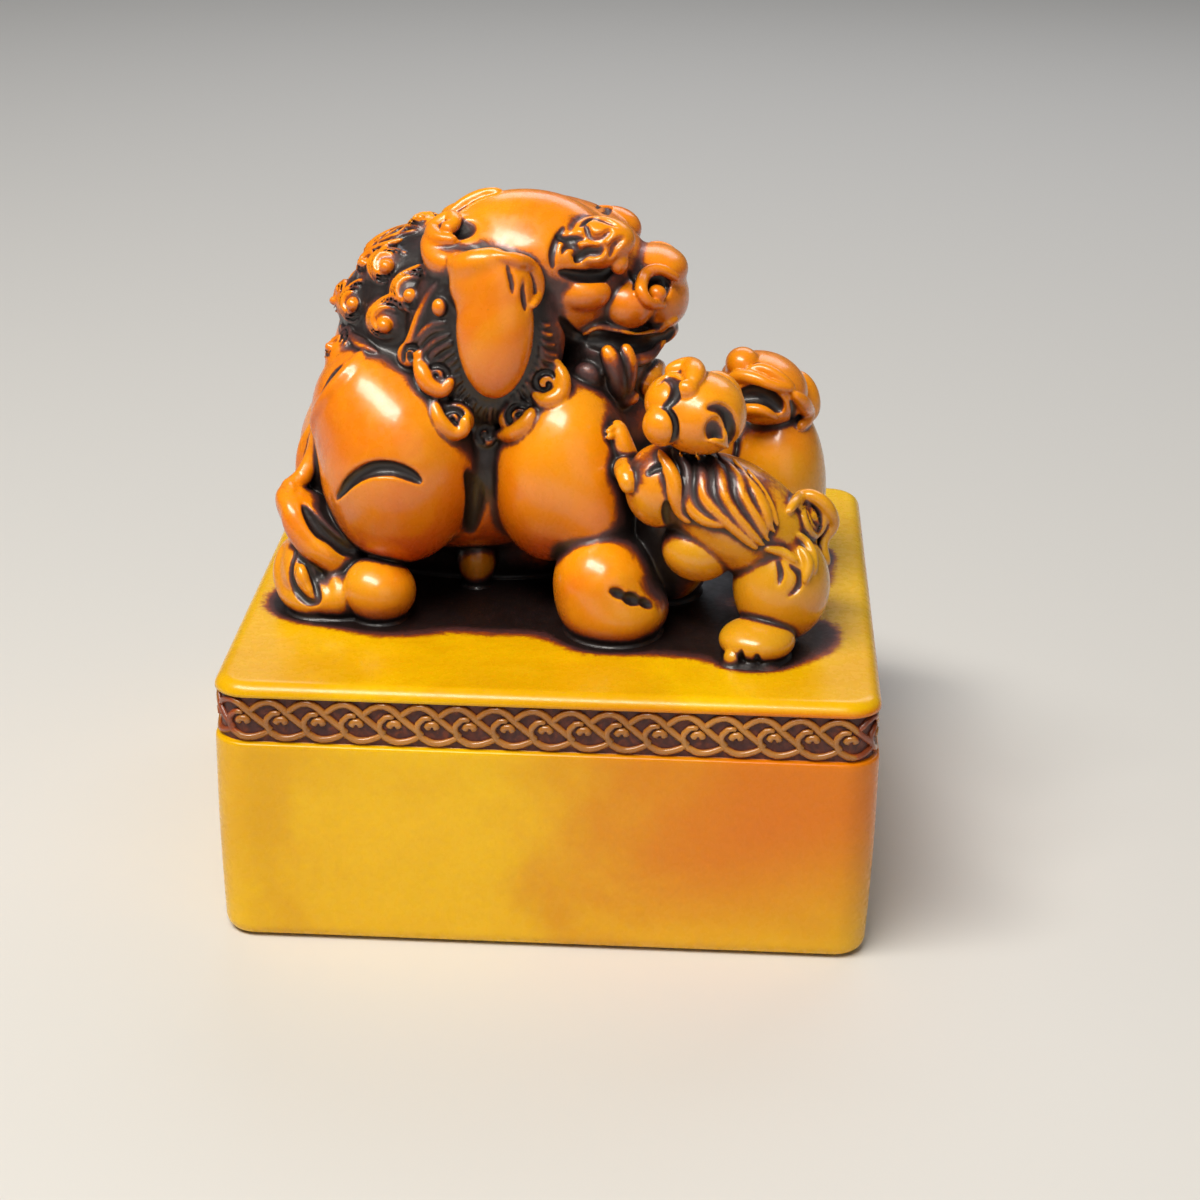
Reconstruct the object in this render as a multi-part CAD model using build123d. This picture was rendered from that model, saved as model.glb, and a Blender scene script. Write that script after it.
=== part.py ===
from build123d import *
from math import cos, degrees, pi, sin
import numpy
import os

# Seal stamp carved from one block of polished stone.
# The square base carries a wave scroll band under its top edge and a fret relief
# on its printing face. A mother lion with two cubs is carved on top.
# Every carved form is a solid of its own, and meets its neighbours at flat faces.
# Millimetres, +Z up, origin at the middle of the printing face, the lion faces +X.

# Base block
block_side = 80.0
block_height = 34.0
corner_radius = 4.5
top_edge_radius = 1.8
foot_edge_radius = 2.6

# Wave scroll band
band_drop = 1.7
band_height = 5.9
band_depth = 0.8
scrolls_per_side = 17
scroll_line = 0.75
scroll_gap = 0.35
scroll_ring_share = 0.37
corner_squeeze_share = 0.72

# Printing face
relief_height = 1.2
face_side = 72.0
border_width = 2.4
fret_tiles = 4
fret_lines = 5
fret_line = 1.7

# Carved group, measured over the block's top
figure_length = 72.0
figure_depth = 60.0
figure_height = 52.0

# Flat facets of a carved form and of a bead or curl, around it and from top to foot
facets_around = 18
facets_high = 9
bead_facets_around = 10
bead_facets_high = 6

# Points that a form is read at where it runs into another, and how many make their seam
form_points = 900
seam_points = 30

# How far a cutting or trimming solid runs past what it cuts
overrun = 2.0

# The lion's middle plane, as a share of the group's depth
lion_middle_share = -0.02

# Shares of rounded forms: centre (length, depth, height), half sizes (the same), degrees
trunk_shares = [
    ((-0.195, 0.0, 0.335), (0.28, 0.24, 0.25), (0, 0, 0)),
]
chest_shares = [
    ((0.06, -0.01, 0.345), (0.125, 0.19, 0.335), (0, 0, 0)),
]
neck_shares = [
    ((-0.2, 0.0, 0.655), (0.2, 0.225, 0.25), (0, 0, 0)),
]
skull_shares = [
    ((-0.03, -0.02, 0.79), (0.175, 0.2, 0.18), (0, 0, 0)),
]
snout_shares = [
    ((0.11, -0.02, 0.78), (0.1, 0.135, 0.1), (0, 0, 0)),
]
nose_shares = [
    ((0.153, -0.02, 0.838), (0.058, 0.08, 0.062), (0, 0, 0)),
]
jaw_shares = [
    ((0.132, -0.02, 0.652), (0.075, 0.108, 0.058), (0, 8, 0)),
]
beard_shares = [
    ((0.097, -0.15, 0.587), (0.024, 0.033, 0.081), (0, 0, 0)),
]
tail_shares = [
    ((-0.4375, 0.0, 0.365), (0.06, 0.15, 0.21), (0, 0, 0)),
    ((-0.40, 0.0, 0.53), (0.05, 0.06, 0.085), (0, 30, 0)),
]
tucked_paw_shares = [
    ((-0.157, -0.067, 0.07), (0.036, 0.05, 0.077), (0, 0, 0)),
]

# Shares of the lion's paired forms on its near side
haunch_shares = [
    ((-0.285, -0.185, 0.365), (0.138, 0.185, 0.25), (0, 0, 0)),
]
hind_leg_shares = [
    ((-0.417, -0.2, 0.18), (0.11, 0.085, 0.06), (0, 45, 0)),
    ((-0.445, -0.183, 0.08), (0.055, 0.11, 0.096), (0, 0, 0)),
]
hind_foot_shares = [
    ((-0.3125, -0.275, 0.065), (0.067, 0.08, 0.08), (0, 0, 0)),
    ((-0.39, -0.217, 0.045), (0.097, 0.108, 0.065), (0, 0, 0)),
]
shoulder_shares = [
    ((-0.003, -0.17, 0.36), (0.118, 0.168, 0.235), (0, 8, 0)),
]
forepaw_shares = [
    ((0.08, -0.3, 0.11), (0.09, 0.125, 0.135), (0, 0, 0)),
]
crest_shares = [
    ((-0.0625, -0.105, 0.875), (0.174, 0.12, 0.11), (0, 0, 0)),
]
ear_shares = [
    ((-0.105, -0.285, 0.738), (0.064, 0.06, 0.178), (-12, 0, 0)),
]
ruff_shares = [
    ((-0.132, -0.2, 0.69), (0.136, 0.083, 0.221), (0, 0, 0)),
]
brow_shares = [
    ((0.049, -0.158, 0.91), (0.069, 0.067, 0.065), (0, 0, 0)),
]
cheek_shares = [
    ((0.033, -0.175, 0.792), (0.053, 0.057, 0.046), (0, 0, 0)),
]
lip_shares = [
    ((0.125, -0.125, 0.763), (0.05, 0.06, 0.062), (0, 0, 0)),
]
# Shares of beads and curls: centre (length, depth, height) and radius (height)
eye_shares = [
    ((0.092, -0.158, 0.862), 0.028),
]
nostril_shares = [
    ((0.157, -0.105, 0.804), 0.04),
]

ruff_curl_shares = [
    ((-0.257, -0.25, 0.654), 0.04),
    ((-0.211, -0.275, 0.615), 0.05),
    ((-0.178, -0.285, 0.535), 0.05),
    ((-0.122, -0.28, 0.5), 0.042),
    ((-0.064, -0.28, 0.538), 0.046),
    ((-0.025, -0.265, 0.602), 0.048),
]
mane_curl_shares = [
    ((-0.3125, -0.205, 0.731), 0.058),
    ((-0.257, -0.215, 0.813), 0.058),
    ((-0.361, -0.133, 0.75), 0.058),
    ((-0.305, -0.155, 0.846), 0.055),
    ((-0.25, -0.125, 0.895), 0.045),
]
crown_curl_shares = [
    ((-0.392, 0.02, 0.74), 0.058),
    ((-0.345, -0.03, 0.86), 0.055),
]

# Shares of the cub in front
front_cub_shares = {
    "front_cub_body": [((0.305, -0.3, 0.298), (0.146, 0.117, 0.125), (0, 32, 0))],
    "front_cub_thigh": [((0.389, -0.333, 0.138), (0.082, 0.1, 0.145), (0, 0, 0))],
    "front_cub_head": [((0.239, -0.325, 0.558), (0.083, 0.1, 0.108), (0, 0, 0))],
    "front_cub_chest": [((0.175, -0.317, 0.38), (0.06, 0.083, 0.104), (0, 0, 0))],
    "front_cub_knee": [((0.243, -0.325, 0.221), (0.0625, 0.075, 0.075), (0, 0, 0))],
    "front_cub_paw": [
        ((0.351, -0.417, 0.038), (0.065, 0.083, 0.056), (0, 0, 0)),
        ((0.305, -0.45, 0.03), (0.022, 0.03, 0.045), (0, 0, 0)),
    ],
    "front_cub_mane": [((0.292, -0.35, 0.385), (0.0625, 0.075, 0.173), (0, -34, 0))],
    "front_cub_tuft": [((0.19, -0.325, 0.65), (0.05, 0.067, 0.046), (0, 0, 0))],
    "front_cub_nose": [((0.179, -0.38, 0.55), (0.03, 0.04, 0.044), (0, 0, 0))],
    "front_cub_ears": [
        ((0.275, -0.387, 0.535), (0.043, 0.04, 0.075), (0, -30, 0)),
        ((0.27, -0.25, 0.57), (0.043, 0.04, 0.075), (0, -30, 0)),
    ],
    "front_cub_arm": [
        ((0.115, -0.283, 0.452), (0.027, 0.036, 0.1), (0, -25, 0)),
        ((0.09, -0.217, 0.55), (0.026, 0.034, 0.036), (0, 0, 0)),
    ],
    "front_cub_tail": [
        ((0.43, -0.258, 0.279), (0.042, 0.04, 0.062), (0, 0, 0)),
        ((0.455, -0.258, 0.185), (0.024, 0.04, 0.096), (0, 0, 0)),
    ],
}

# Shares of the cub behind it
rear_cub_shares = {
    "rear_cub_body": [((0.382, 0.05, 0.227), (0.086, 0.133, 0.235), (0, 0, 0))],
    "rear_cub_head": [((0.347, 0.025, 0.5), (0.083, 0.103, 0.096), (0, 0, 0))],
    "rear_cub_nose": [((0.304, 0.0, 0.577), (0.0375, 0.05, 0.044), (0, 0, 0))],
    "rear_cub_jaw": [((0.298, -0.02, 0.452), (0.055, 0.06, 0.035), (0, 12, 0))],
    "rear_cub_ears": [
        ((0.42, -0.03, 0.455), (0.03, 0.034, 0.07), (0, -20, 0)),
        ((0.42, 0.09, 0.455), (0.03, 0.034, 0.07), (0, -20, 0)),
    ],
    "rear_cub_paws": [
        ((0.33, 0.19, 0.042), (0.047, 0.08, 0.062), (0, 0, 0)),
        ((0.43, 0.17, 0.042), (0.047, 0.08, 0.062), (0, 0, 0)),
        ((0.255, 0.03, 0.33), (0.05, 0.05, 0.07), (0, 0, 0)),
    ],
}

band_top = block_height - band_drop
band_foot = band_top - band_height
flat_run = block_side - 2 * corner_radius
side_run = flat_run + corner_radius * pi / 2
scroll_pitch = side_run / scrolls_per_side
fret_pitch = (face_side - 2 * border_width) / (fret_tiles * fret_lines + 1)
nodes = {}
forms = []


def rounded_square(side, radius, height):
    """Prism of the block's plan."""
    return extrude(RectangleRounded(side, side, radius), height)


def band_ring():
    """The space of the sunk band, a ring of the band's depth round the block."""
    outer = rounded_square(block_side, corner_radius, band_height)
    inner = rounded_square(block_side - 2 * band_depth, corner_radius - band_depth, band_height)
    return Pos(Z=band_foot) * (outer - inner)


def block_shape():
    """Square base with rounded edges and its band sunk all round."""
    body = rounded_square(block_side, corner_radius, block_height - relief_height)
    body = Pos(Z=relief_height) * body
    body = fillet(body.faces().sort_by(Axis.Z)[-1].edges(), top_edge_radius)
    body = fillet(body.faces().sort_by(Axis.Z)[0].edges(), foot_edge_radius)
    return body - band_ring()


def scroll_sketch(squeeze_share):
    """One wave scroll seen face on: an arch over a ring, open at its right, with a bead."""
    tall = band_height - 2 * scroll_gap
    wide = scroll_pitch - scroll_gap
    ring_radius = tall * scroll_ring_share
    arch_radius = tall - ring_radius
    bead_radius = ring_radius - scroll_line - scroll_gap
    arch = Circle(arch_radius) - Circle(arch_radius - scroll_line)
    arch &= Pos(Y=arch_radius / 2) * Rectangle(wide, arch_radius)
    ring = Circle(ring_radius) - Circle(ring_radius - scroll_line)
    ring -= Pos(X=ring_radius / 2, Y=scroll_line / 2) * Rectangle(ring_radius, scroll_line)
    motif = Sketch() + [arch, ring, Circle(bead_radius)]
    motif = Pos(Y=ring_radius - tall / 2) * motif
    return scale(motif, by=(squeeze_share, 1, 1))


def band_side():
    """The wave scrolls of one side, from the middle of one corner to the middle of the next."""
    middle = (band_top + band_foot) / 2
    space = band_ring()
    plain = scroll_sketch(1)
    narrow = scroll_sketch(corner_squeeze_share)
    scrolls = []
    for count in range(scrolls_per_side):
        along = (count + 0.5) * scroll_pitch - side_run / 2
        past = max(abs(along) - flat_run / 2, 0)
        lean = degrees(past / corner_radius)
        if along < 0:
            lean = -lean
        straight = max(min(along, flat_run / 2), -flat_run / 2)
        sketch = narrow if past > 0 or abs(along) + scroll_pitch / 2 > flat_run / 2 else plain
        prism = Rot(X=90) * extrude(sketch, band_depth + overrun / 2, both=True)
        prism = Pos(Y=-corner_radius) * prism
        prism = Pos(straight, corner_radius - block_side / 2, middle) * Rot(Z=lean) * prism
        scrolls += (prism & space).solids()
    return Compound(scrolls)


def fret_bar(start, end):
    """A straight bar of the fret, from one corner of its line to the next."""
    width = abs(end[0] - start[0]) * fret_pitch + fret_line
    height = abs(end[1] - start[1]) * fret_pitch + fret_line
    x = (start[0] + end[0]) / 2 * fret_pitch
    y = (start[1] + end[1]) / 2 * fret_pitch
    return Pos(x, y) * Rectangle(width, height)


def fret_spiral():
    """One square spiral, centred: its corners count lines of the fret."""
    corners = [(0, 0), (4, 0), (4, 4), (0, 4), (0, 1), (3, 1), (3, 3), (1, 3), (1, 2), (2, 2)]
    spiral = Sketch() + [fret_bar(start, end) for start, end in zip(corners, corners[1:])]
    middle = (fret_lines - 1) / 2 * fret_pitch
    return Pos(-middle, -middle) * spiral


def seal_face_shape():
    """Raised border and fret of the printing face, neighbours mirrored."""
    inner_side = face_side - 2 * border_width
    raised = [extrude(Rectangle(face_side, face_side) - Rectangle(inner_side, inner_side), relief_height)]
    spiral = extrude(fret_spiral(), relief_height)
    tile = fret_pitch * fret_lines
    for column in range(fret_tiles):
        for row in range(fret_tiles):
            piece = spiral
            if column % 2:
                piece = mirror(piece, Plane.YZ)
            if row % 2:
                piece = mirror(piece, Plane.XZ)
            x = (column - (fret_tiles - 1) / 2) * tile
            y = (row - (fret_tiles - 1) / 2) * tile
            raised.append(Pos(x, y) * piece)
    return Compound([solid for piece in raised for solid in piece.solids()])


def unit_points():
    """Points spread evenly over a unit ball."""
    count = numpy.arange(form_points) + 0.5
    height = 1 - 2 * count / form_points
    turn = count * pi * (1 + 5 ** 0.5)
    round_share = (1 - height * height) ** 0.5
    return numpy.stack([round_share * numpy.cos(turn), round_share * numpy.sin(turn), height], 1)


def faceted_ball(halves, around, high):
    """Ball of flat facets, stretched to its half sizes: facets around, and from top to foot."""
    rings = []
    for level in range(1, high):
        fall = pi * level / high
        turns = [2 * pi * (step + 0.5) / around for step in range(around)]
        ring = [(sin(fall) * cos(turn), sin(fall) * sin(turn), cos(fall)) for turn in turns]
        rings.append([tuple(halves * corner) for corner in numpy.array(ring)])
    top = (0, 0, halves[2])
    foot = (0, 0, -halves[2])
    outlines = []
    for step in range(around):
        after = (step + 1) % around
        outlines.append((top, rings[0][step], rings[0][after]))
        outlines.append((foot, rings[-1][after], rings[-1][step]))
        for upper, lower in zip(rings, rings[1:]):
            outlines.append((upper[step], lower[step], lower[after], upper[after]))
    return Solid(Shell([Face(Wire.make_polygon(outline, close=True)) for outline in outlines]))


def rounded_form(row):
    """A table row's form: its solid, centre, turned axes, half sizes and surface points."""
    centre = numpy.array(row[0]) * (figure_length, figure_depth, figure_height) + (0, 0, block_height)
    if len(row) == 2:
        halves = numpy.full(3, row[1] * figure_height)
        turn = Rotation(0, 0, 0)
        ball = faceted_ball(halves, bead_facets_around, bead_facets_high)
    else:
        halves = numpy.array(row[1]) * (figure_length, figure_depth, figure_height)
        turn = Rotation(*row[2])
        ball = faceted_ball(halves, facets_around, facets_high)
    axes = numpy.array([tuple((turn * Pos(*axis)).position) for axis in numpy.eye(3)])
    solid = (Pos(*centre) * turn * ball).solid()
    points = centre + (unit_points() * halves) @ axes
    return {"solid": solid, "centre": centre, "axes": axes, "halves": halves, "points": points}


def depth(form, points):
    """Under zero for points inside a form, zero on its surface."""
    local = (points - form["centre"]) @ form["axes"].T / form["halves"]
    return (local * local).sum(1) - 1


def seam(first, second):
    """The flat face between two forms, facing the second, or None where they don't meet."""
    in_first = depth(first, second["points"])
    in_second = depth(second, first["points"])
    if min(in_first.min(), in_second.min()) > 0:
        return None
    ring = [second["points"][numpy.argsort(abs(in_first))[:seam_points]]]
    if in_second.min() < 0:
        ring.append(first["points"][numpy.argsort(abs(in_second))[:seam_points]])
    ring = numpy.concatenate(ring)
    middle = ring.mean(0)
    normal = numpy.linalg.svd(ring - middle)[2][2]
    if (first["centre"] - middle) @ normal > 0:
        normal = -normal
    return Plane(origin=tuple(middle), z_dir=tuple(normal))


def keep_side(solid, plane, side):
    """The larger piece of a solid on one side of a plane."""
    pieces = split(solid, plane, keep=side)
    return pieces.solids().sort_by(SortBy.VOLUME)[-1]


def carve(name, rows):
    """Adds the forms of a node, parted by a flat face from each form that they run into."""
    for row in rows:
        form = rounded_form(row)
        ground = Plane(origin=(0, 0, block_height))
        if form["points"][:, 2].min() < block_height:
            form["solid"] = keep_side(form["solid"], ground, Keep.TOP)
        for other in forms:
            face = seam(other, form)
            if face:
                other["solid"] = keep_side(other["solid"], face, Keep.BOTTOM)
                form["solid"] = keep_side(form["solid"], face, Keep.TOP)
        form["node"] = name
        forms.append(form)


def far_side(row):
    """The same row on the lion's other side."""
    centre = row[0]
    across = (centre[0], 2 * lion_middle_share - centre[1], centre[2])
    if len(row) == 2:
        return (across, row[1])
    turns = row[2]
    return (across, row[1], (-turns[0], turns[1], -turns[2]))


def pair(name, rows):
    """A node on the lion's near side and its match on the far side."""
    carve("near_" + name, rows)
    carve("far_" + name, [far_side(row) for row in rows])


def both(name, rows):
    """One node with the forms of both sides."""
    carve(name, rows + [far_side(row) for row in rows])


def build_base():
    """The block, its scroll band and its printing face."""
    nodes["seal_block"] = block_shape()
    nodes["seal_face"] = seal_face_shape()
    scrolls = band_side()
    for name, turn in (("front", 0), ("right", 90), ("back", 180), ("left", 270)):
        nodes["scroll_band_" + name] = Rot(Z=turn) * scrolls


def build_lion():
    """The mother lion, the large masses first."""
    carve("lion_trunk", trunk_shares)
    carve("lion_chest", chest_shares)
    carve("lion_neck", neck_shares)
    pair("haunch", haunch_shares)
    pair("shoulder", shoulder_shares)
    carve("lion_skull", skull_shares)
    carve("lion_snout", snout_shares)
    carve("lion_tail", tail_shares)
    pair("forepaw", forepaw_shares)
    pair("hind_leg", hind_leg_shares)
    pair("hind_foot", hind_foot_shares)
    carve("tucked_paw", tucked_paw_shares)
    pair("ruff", ruff_shares)
    pair("crest_lobe", crest_shares)
    pair("ear", ear_shares)
    both("lion_brows", brow_shares)
    carve("lion_nose", nose_shares)
    both("lion_lips", lip_shares)
    both("lion_cheeks", cheek_shares)
    both("lion_nostrils", nostril_shares)
    both("lion_eyes", eye_shares)
    carve("lion_jaw", jaw_shares)
    carve("lion_beard", beard_shares)
    pair("ruff_curls", ruff_curl_shares)
    carve("mane_curls", mane_curl_shares + crown_curl_shares + [far_side(row) for row in mane_curl_shares])


def build_cubs():
    """The two cubs at the lion's breast."""
    for table in (front_cub_shares, rear_cub_shares):
        for name, rows in table.items():
            carve(name, rows)


build_base()
build_lion()
build_cubs()
for form in forms:
    nodes.setdefault(form["node"], []).append(form["solid"])
os.makedirs("parts", exist_ok=True)
for name, content in nodes.items():
    shape = Compound(content) if isinstance(content, list) else content
    export_step(shape, "parts/" + name + ".step")
    print(name, len(shape.solids()), round(shape.volume, 1))
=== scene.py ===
import math

import bpy
import numpy as np
from mathutils import Matrix


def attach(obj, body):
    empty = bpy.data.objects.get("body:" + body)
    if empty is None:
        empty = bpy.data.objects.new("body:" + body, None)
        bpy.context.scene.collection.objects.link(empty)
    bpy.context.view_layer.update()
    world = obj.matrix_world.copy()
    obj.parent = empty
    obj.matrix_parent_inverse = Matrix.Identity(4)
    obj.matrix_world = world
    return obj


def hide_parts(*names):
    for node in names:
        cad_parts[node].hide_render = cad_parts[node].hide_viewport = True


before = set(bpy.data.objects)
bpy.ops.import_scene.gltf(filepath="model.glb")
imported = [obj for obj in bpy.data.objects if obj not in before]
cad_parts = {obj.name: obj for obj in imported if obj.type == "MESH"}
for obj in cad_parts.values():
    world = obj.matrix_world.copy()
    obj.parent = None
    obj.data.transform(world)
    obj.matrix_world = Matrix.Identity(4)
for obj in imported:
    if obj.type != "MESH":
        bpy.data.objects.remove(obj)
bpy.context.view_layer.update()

# Seal stamp of polished yellow stone: a square block with a wave scroll band, a lion and two cubs.
# Lengths of the carving are in mm in the frame of the part; meshes are written in metres.
MM = 0.001
rng = np.random.default_rng(7)


# Camera
# The photograph is square. Its camera was found from the corners of the block.
PHOTO_PIXELS, FOCAL_PIXELS = 1200, 2706.0
PITCH, YAW, ROLL = math.radians(21.46), math.radians(-2.5), math.radians(1.01)
EYE = np.array([19.1, -331.8, 161.2])


def camera_axes():
    """Right, up and forward of the camera in the frame of the part."""
    level = math.cos(PITCH)
    forward = np.array([math.sin(YAW) * level, math.cos(YAW) * level, -math.sin(PITCH)])
    right = np.array([math.cos(YAW), -math.sin(YAW), 0.0])
    up = np.cross(right, forward)
    turned_right = math.cos(ROLL) * right + math.sin(ROLL) * up
    turned_up = math.cos(ROLL) * up - math.sin(ROLL) * right
    return turned_right, turned_up, forward


RIGHT, UP, FORWARD = camera_axes()


# Field
# The carving is a distance field on a grid: below zero inside the stone, in mm.
STEP = 0.24
LOW = np.array([-38.6, -33.0, 33.0])
HIGH = np.array([38.6, 26.6, 87.4])
SIZE = np.ceil((HIGH - LOW) / STEP).astype(int) + 1
# Distance where no stone is near
FAR = 9.0
# The lion's middle plane, and the block's top
MIDDLE = -1.2
TOP = 34.0
# The lion's head leans over, so the far half of its crown, above and in front of these, is moved by this
CROWN_X, CROWN_Z = -16, 78.3
CROWN_LEAN = np.array([0.3, -2.6, -1.8])
# A line drawn over the photograph stays within this depth
DEEPEST = 5.0

field = np.full(SIZE, FAR, np.float32)
label = np.zeros(SIZE, np.int8)
names = [None]
# Patina rubbed into cut lines, and how far it spreads past their edges
ink = np.zeros(SIZE, np.float32)
INK_EDGE = 0.3
# What strands and cuts are laid on: the field as it was before the fine work
ground = field


def label_of(name):
    if name not in names:
        names.append(name)
    return names.index(name)


def window(low, high):
    """Slices of the grid between two corners, and the coordinates there."""
    first = np.clip(np.floor((np.asarray(low) - LOW) / STEP).astype(int), 0, SIZE - 1)
    last = np.clip(np.ceil((np.asarray(high) - LOW) / STEP).astype(int) + 1, first + 1, SIZE)
    cut = tuple(slice(a, b) for a, b in zip(first, last))
    axes = [(LOW[i] + STEP * np.arange(first[i], last[i])).astype(np.float32) for i in range(3)]
    return cut, axes[0][:, None, None], axes[1][None, :, None], axes[2][None, None, :]


def smooth_min(a, b, soft):
    """The smaller of two distances, rounded over within soft mm of where they are equal."""
    near = np.maximum(soft - np.abs(a - b), 0) / soft
    return np.minimum(a, b) - near * near * soft * 0.25


def put(cut, distance, name, soft):
    """Adds a form to the field; the nearest form names the stone there."""
    old = field[cut]
    label[cut][distance < old] = label_of(name)
    field[cut] = smooth_min(old, distance, soft)


def cut_out(cut, distance, soft):
    """Takes a form away from the field."""
    field[cut] = -smooth_min(-field[cut], distance, soft)


def turned(turn):
    """Rotation matrix of (axis, degrees)."""
    if not turn:
        return np.eye(3)
    axis, angle = turn
    return np.array(Matrix.Rotation(math.radians(angle), 3, axis))


def ball_distance(centre, halves, turn, margin):
    """Distance from an ellipsoid, within margin of its box."""
    reach = np.abs(turned(turn)) @ np.asarray(halves, float)
    cut, x, y, z = window(np.asarray(centre) - reach - margin, np.asarray(centre) + reach + margin)
    m = turned(turn).T.astype(np.float32)
    px, py, pz = x - centre[0], y - centre[1], z - centre[2]
    near = 0.0
    steep = 0.0
    for row, half in zip(m, halves):
        along = (row[0] * px + row[1] * py + row[2] * pz) / half
        near = near + along * along
        steep = steep + (along / half) ** 2
    near = np.sqrt(near)
    return cut, near * (near - 1) / (np.sqrt(steep) + 1e-6)


def other_side(name):
    return name.replace("near_", "far_")


def mirrored(points):
    return points * np.array([1, -1, 1]) + np.array([0, 2 * MIDDLE, 0])


def far_places(points):
    """Points of a form on the far side of the lion; on its crown they are lower and nearer."""
    points = mirrored(np.atleast_2d(np.asarray(points, float)))
    crown = points[:, 2].mean() > CROWN_Z and points[:, 0].mean() > CROWN_X
    return points + CROWN_LEAN * crown


def ball(name, centre, halves, turn=None, soft=0.8, pair=False, margin=3.0, take=False):
    """An ellipsoid added to the stone, or taken from it, on one or both sides of the lion."""
    cut, distance = ball_distance(centre, halves, turn, margin)
    if take:
        cut_out(cut, distance, soft)
    else:
        put(cut, distance, name, soft)
    if pair:
        if turn and turn[0] in "XZ":
            turn = (turn[0], -turn[1])
        ball(other_side(name or ""), far_places(centre)[0], halves, turn, soft, False, margin, take)


def chain(name, points, radii, soft=0.3, pair=False, take=False):
    """A tapering rope through points, added to the stone or taken from it."""
    points = np.asarray(points, float)
    radii = np.broadcast_to(np.asarray(radii, float), (len(points),))
    margin = max(0.9, soft + 0.5)
    reach = radii.max() + margin
    cut, x, y, z = window(points.min(0) - reach, points.max(0) + reach)
    distance = np.full(field[cut].shape, FAR, np.float32)
    origin = [c.start for c in cut]
    for a, b, ra, rb in zip(points, points[1:], radii, radii[1:]):
        span = b - a
        long2 = max(float(span @ span), 1e-9)
        reach = max(ra, rb) + margin
        part, x, y, z = window(np.minimum(a, b) - reach, np.maximum(a, b) + reach)
        px, py, pz = x - a[0], y - a[1], z - a[2]
        along = np.clip((px * span[0] + py * span[1] + pz * span[2]) / long2, 0, 1)
        aside, beside, over = px - along * span[0], py - along * span[1], pz - along * span[2]
        gap = np.sqrt(aside ** 2 + beside ** 2 + over ** 2)
        gap -= ra + (rb - ra) * along
        local = tuple(slice(s.start - o, s.stop - o) for s, o in zip(part, origin))
        distance[local] = np.minimum(distance[local], gap)
    if take:
        cut_out(cut, distance, soft)
        ink[cut] = np.maximum(ink[cut], np.clip(1 - distance / INK_EDGE, 0, 1))
    else:
        put(cut, distance, name, soft)
        ink[cut] *= np.clip(distance / INK_EDGE, 0, 1)
    if pair:
        chain(other_side(name or ""), far_places(points), radii, soft, False, take)


# Reading the field
# The eight corners of a cell, from its first
CORNERS = [(x, y, z) for x in (0, 1) for y in (0, 1) for z in (0, 1)]


def read(volume, points):
    """Trilinear value of a grid at points."""
    q = (np.asarray(points, float) - LOW) / STEP
    q = np.clip(q, 0, SIZE - 1.001)
    i = np.floor(q).astype(int)
    t = q - i
    value = 0.0
    for corner in CORNERS:
        x, y, z = [t[..., axis] if corner[axis] else 1 - t[..., axis] for axis in range(3)]
        value = value + x * y * z * volume[tuple(i[..., axis] + corner[axis] for axis in range(3))]
    return value


def keep_ground():
    """What is drawn from here on is laid on the stone as it is now."""
    global ground
    ground = field.copy()


def slope(points, reach=0.5, volume=None):
    """Outward direction of the surface at points."""
    volume = ground if volume is None else volume
    steps = np.eye(3) * reach
    found = np.stack([read(volume, points + s) - read(volume, points - s) for s in steps], -1)
    return found / (np.linalg.norm(found, axis=-1, keepdims=True) + 1e-9)


def rays_through(pixels):
    """Directions from the camera through pixels of the photograph."""
    rays = FORWARD + np.outer(pixels[:, 0] - PHOTO_PIXELS / 2, RIGHT) / FOCAL_PIXELS
    return rays + np.outer(PHOTO_PIXELS / 2 - pixels[:, 1], UP) / FOCAL_PIXELS


def seen(pixels):
    """Points of the stone that the camera sees at pixels of the photograph."""
    pixels = np.atleast_2d(np.asarray(pixels, float))
    rays = rays_through(pixels)
    start = (LOW[1] - EYE[1]) / rays[:, 1]
    end = (HIGH[1] - EYE[1]) / rays[:, 1]
    steps = np.linspace(0, 1, 400)
    t = start[:, None] + (end - start)[:, None] * steps
    points = EYE + rays[:, None, :] * t[..., None]
    outside = ((points < LOW) | (points > HIGH)).any(-1)
    values = np.where(outside, FAR, read(ground, points))
    hit = values < 0
    first = np.where(hit.any(1), hit.argmax(1), values.argmin(1))
    rows = np.arange(len(pixels))
    before = np.maximum(first - 1, 0)
    a, b = values[rows, before], values[rows, first]
    share = np.where(hit.any(1) & (a > b), a / np.maximum(a - b, 1e-6), 1.0)
    t = t[rows, before] + share * (t[rows, first] - t[rows, before])
    if len(pixels) > 2:
        # A line stays at one depth: points that slipped past an edge are drawn back to their neighbours
        known = hit.any(1)
        known &= np.abs(t - np.median(t[known])) < DEEPEST if known.any() else False
        t = np.interp(rows, rows[known], t[known]) if known.any() else t
    return EYE + rays * t[:, None]


def at_depth(pixels, depth):
    """Points under pixels of the photograph on an upright plane across the camera's view."""
    rays = rays_through(pixels)
    return EYE + rays * ((depth - EYE[1]) / rays[:, 1])[:, None]


def settle(points, times=4):
    """Moves points on to the surface of the stone."""
    points = np.atleast_2d(np.asarray(points, float)).copy()
    for _ in range(times):
        points -= slope(points) * np.clip(read(ground, points), -2, 2)[:, None]
    return points


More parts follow.
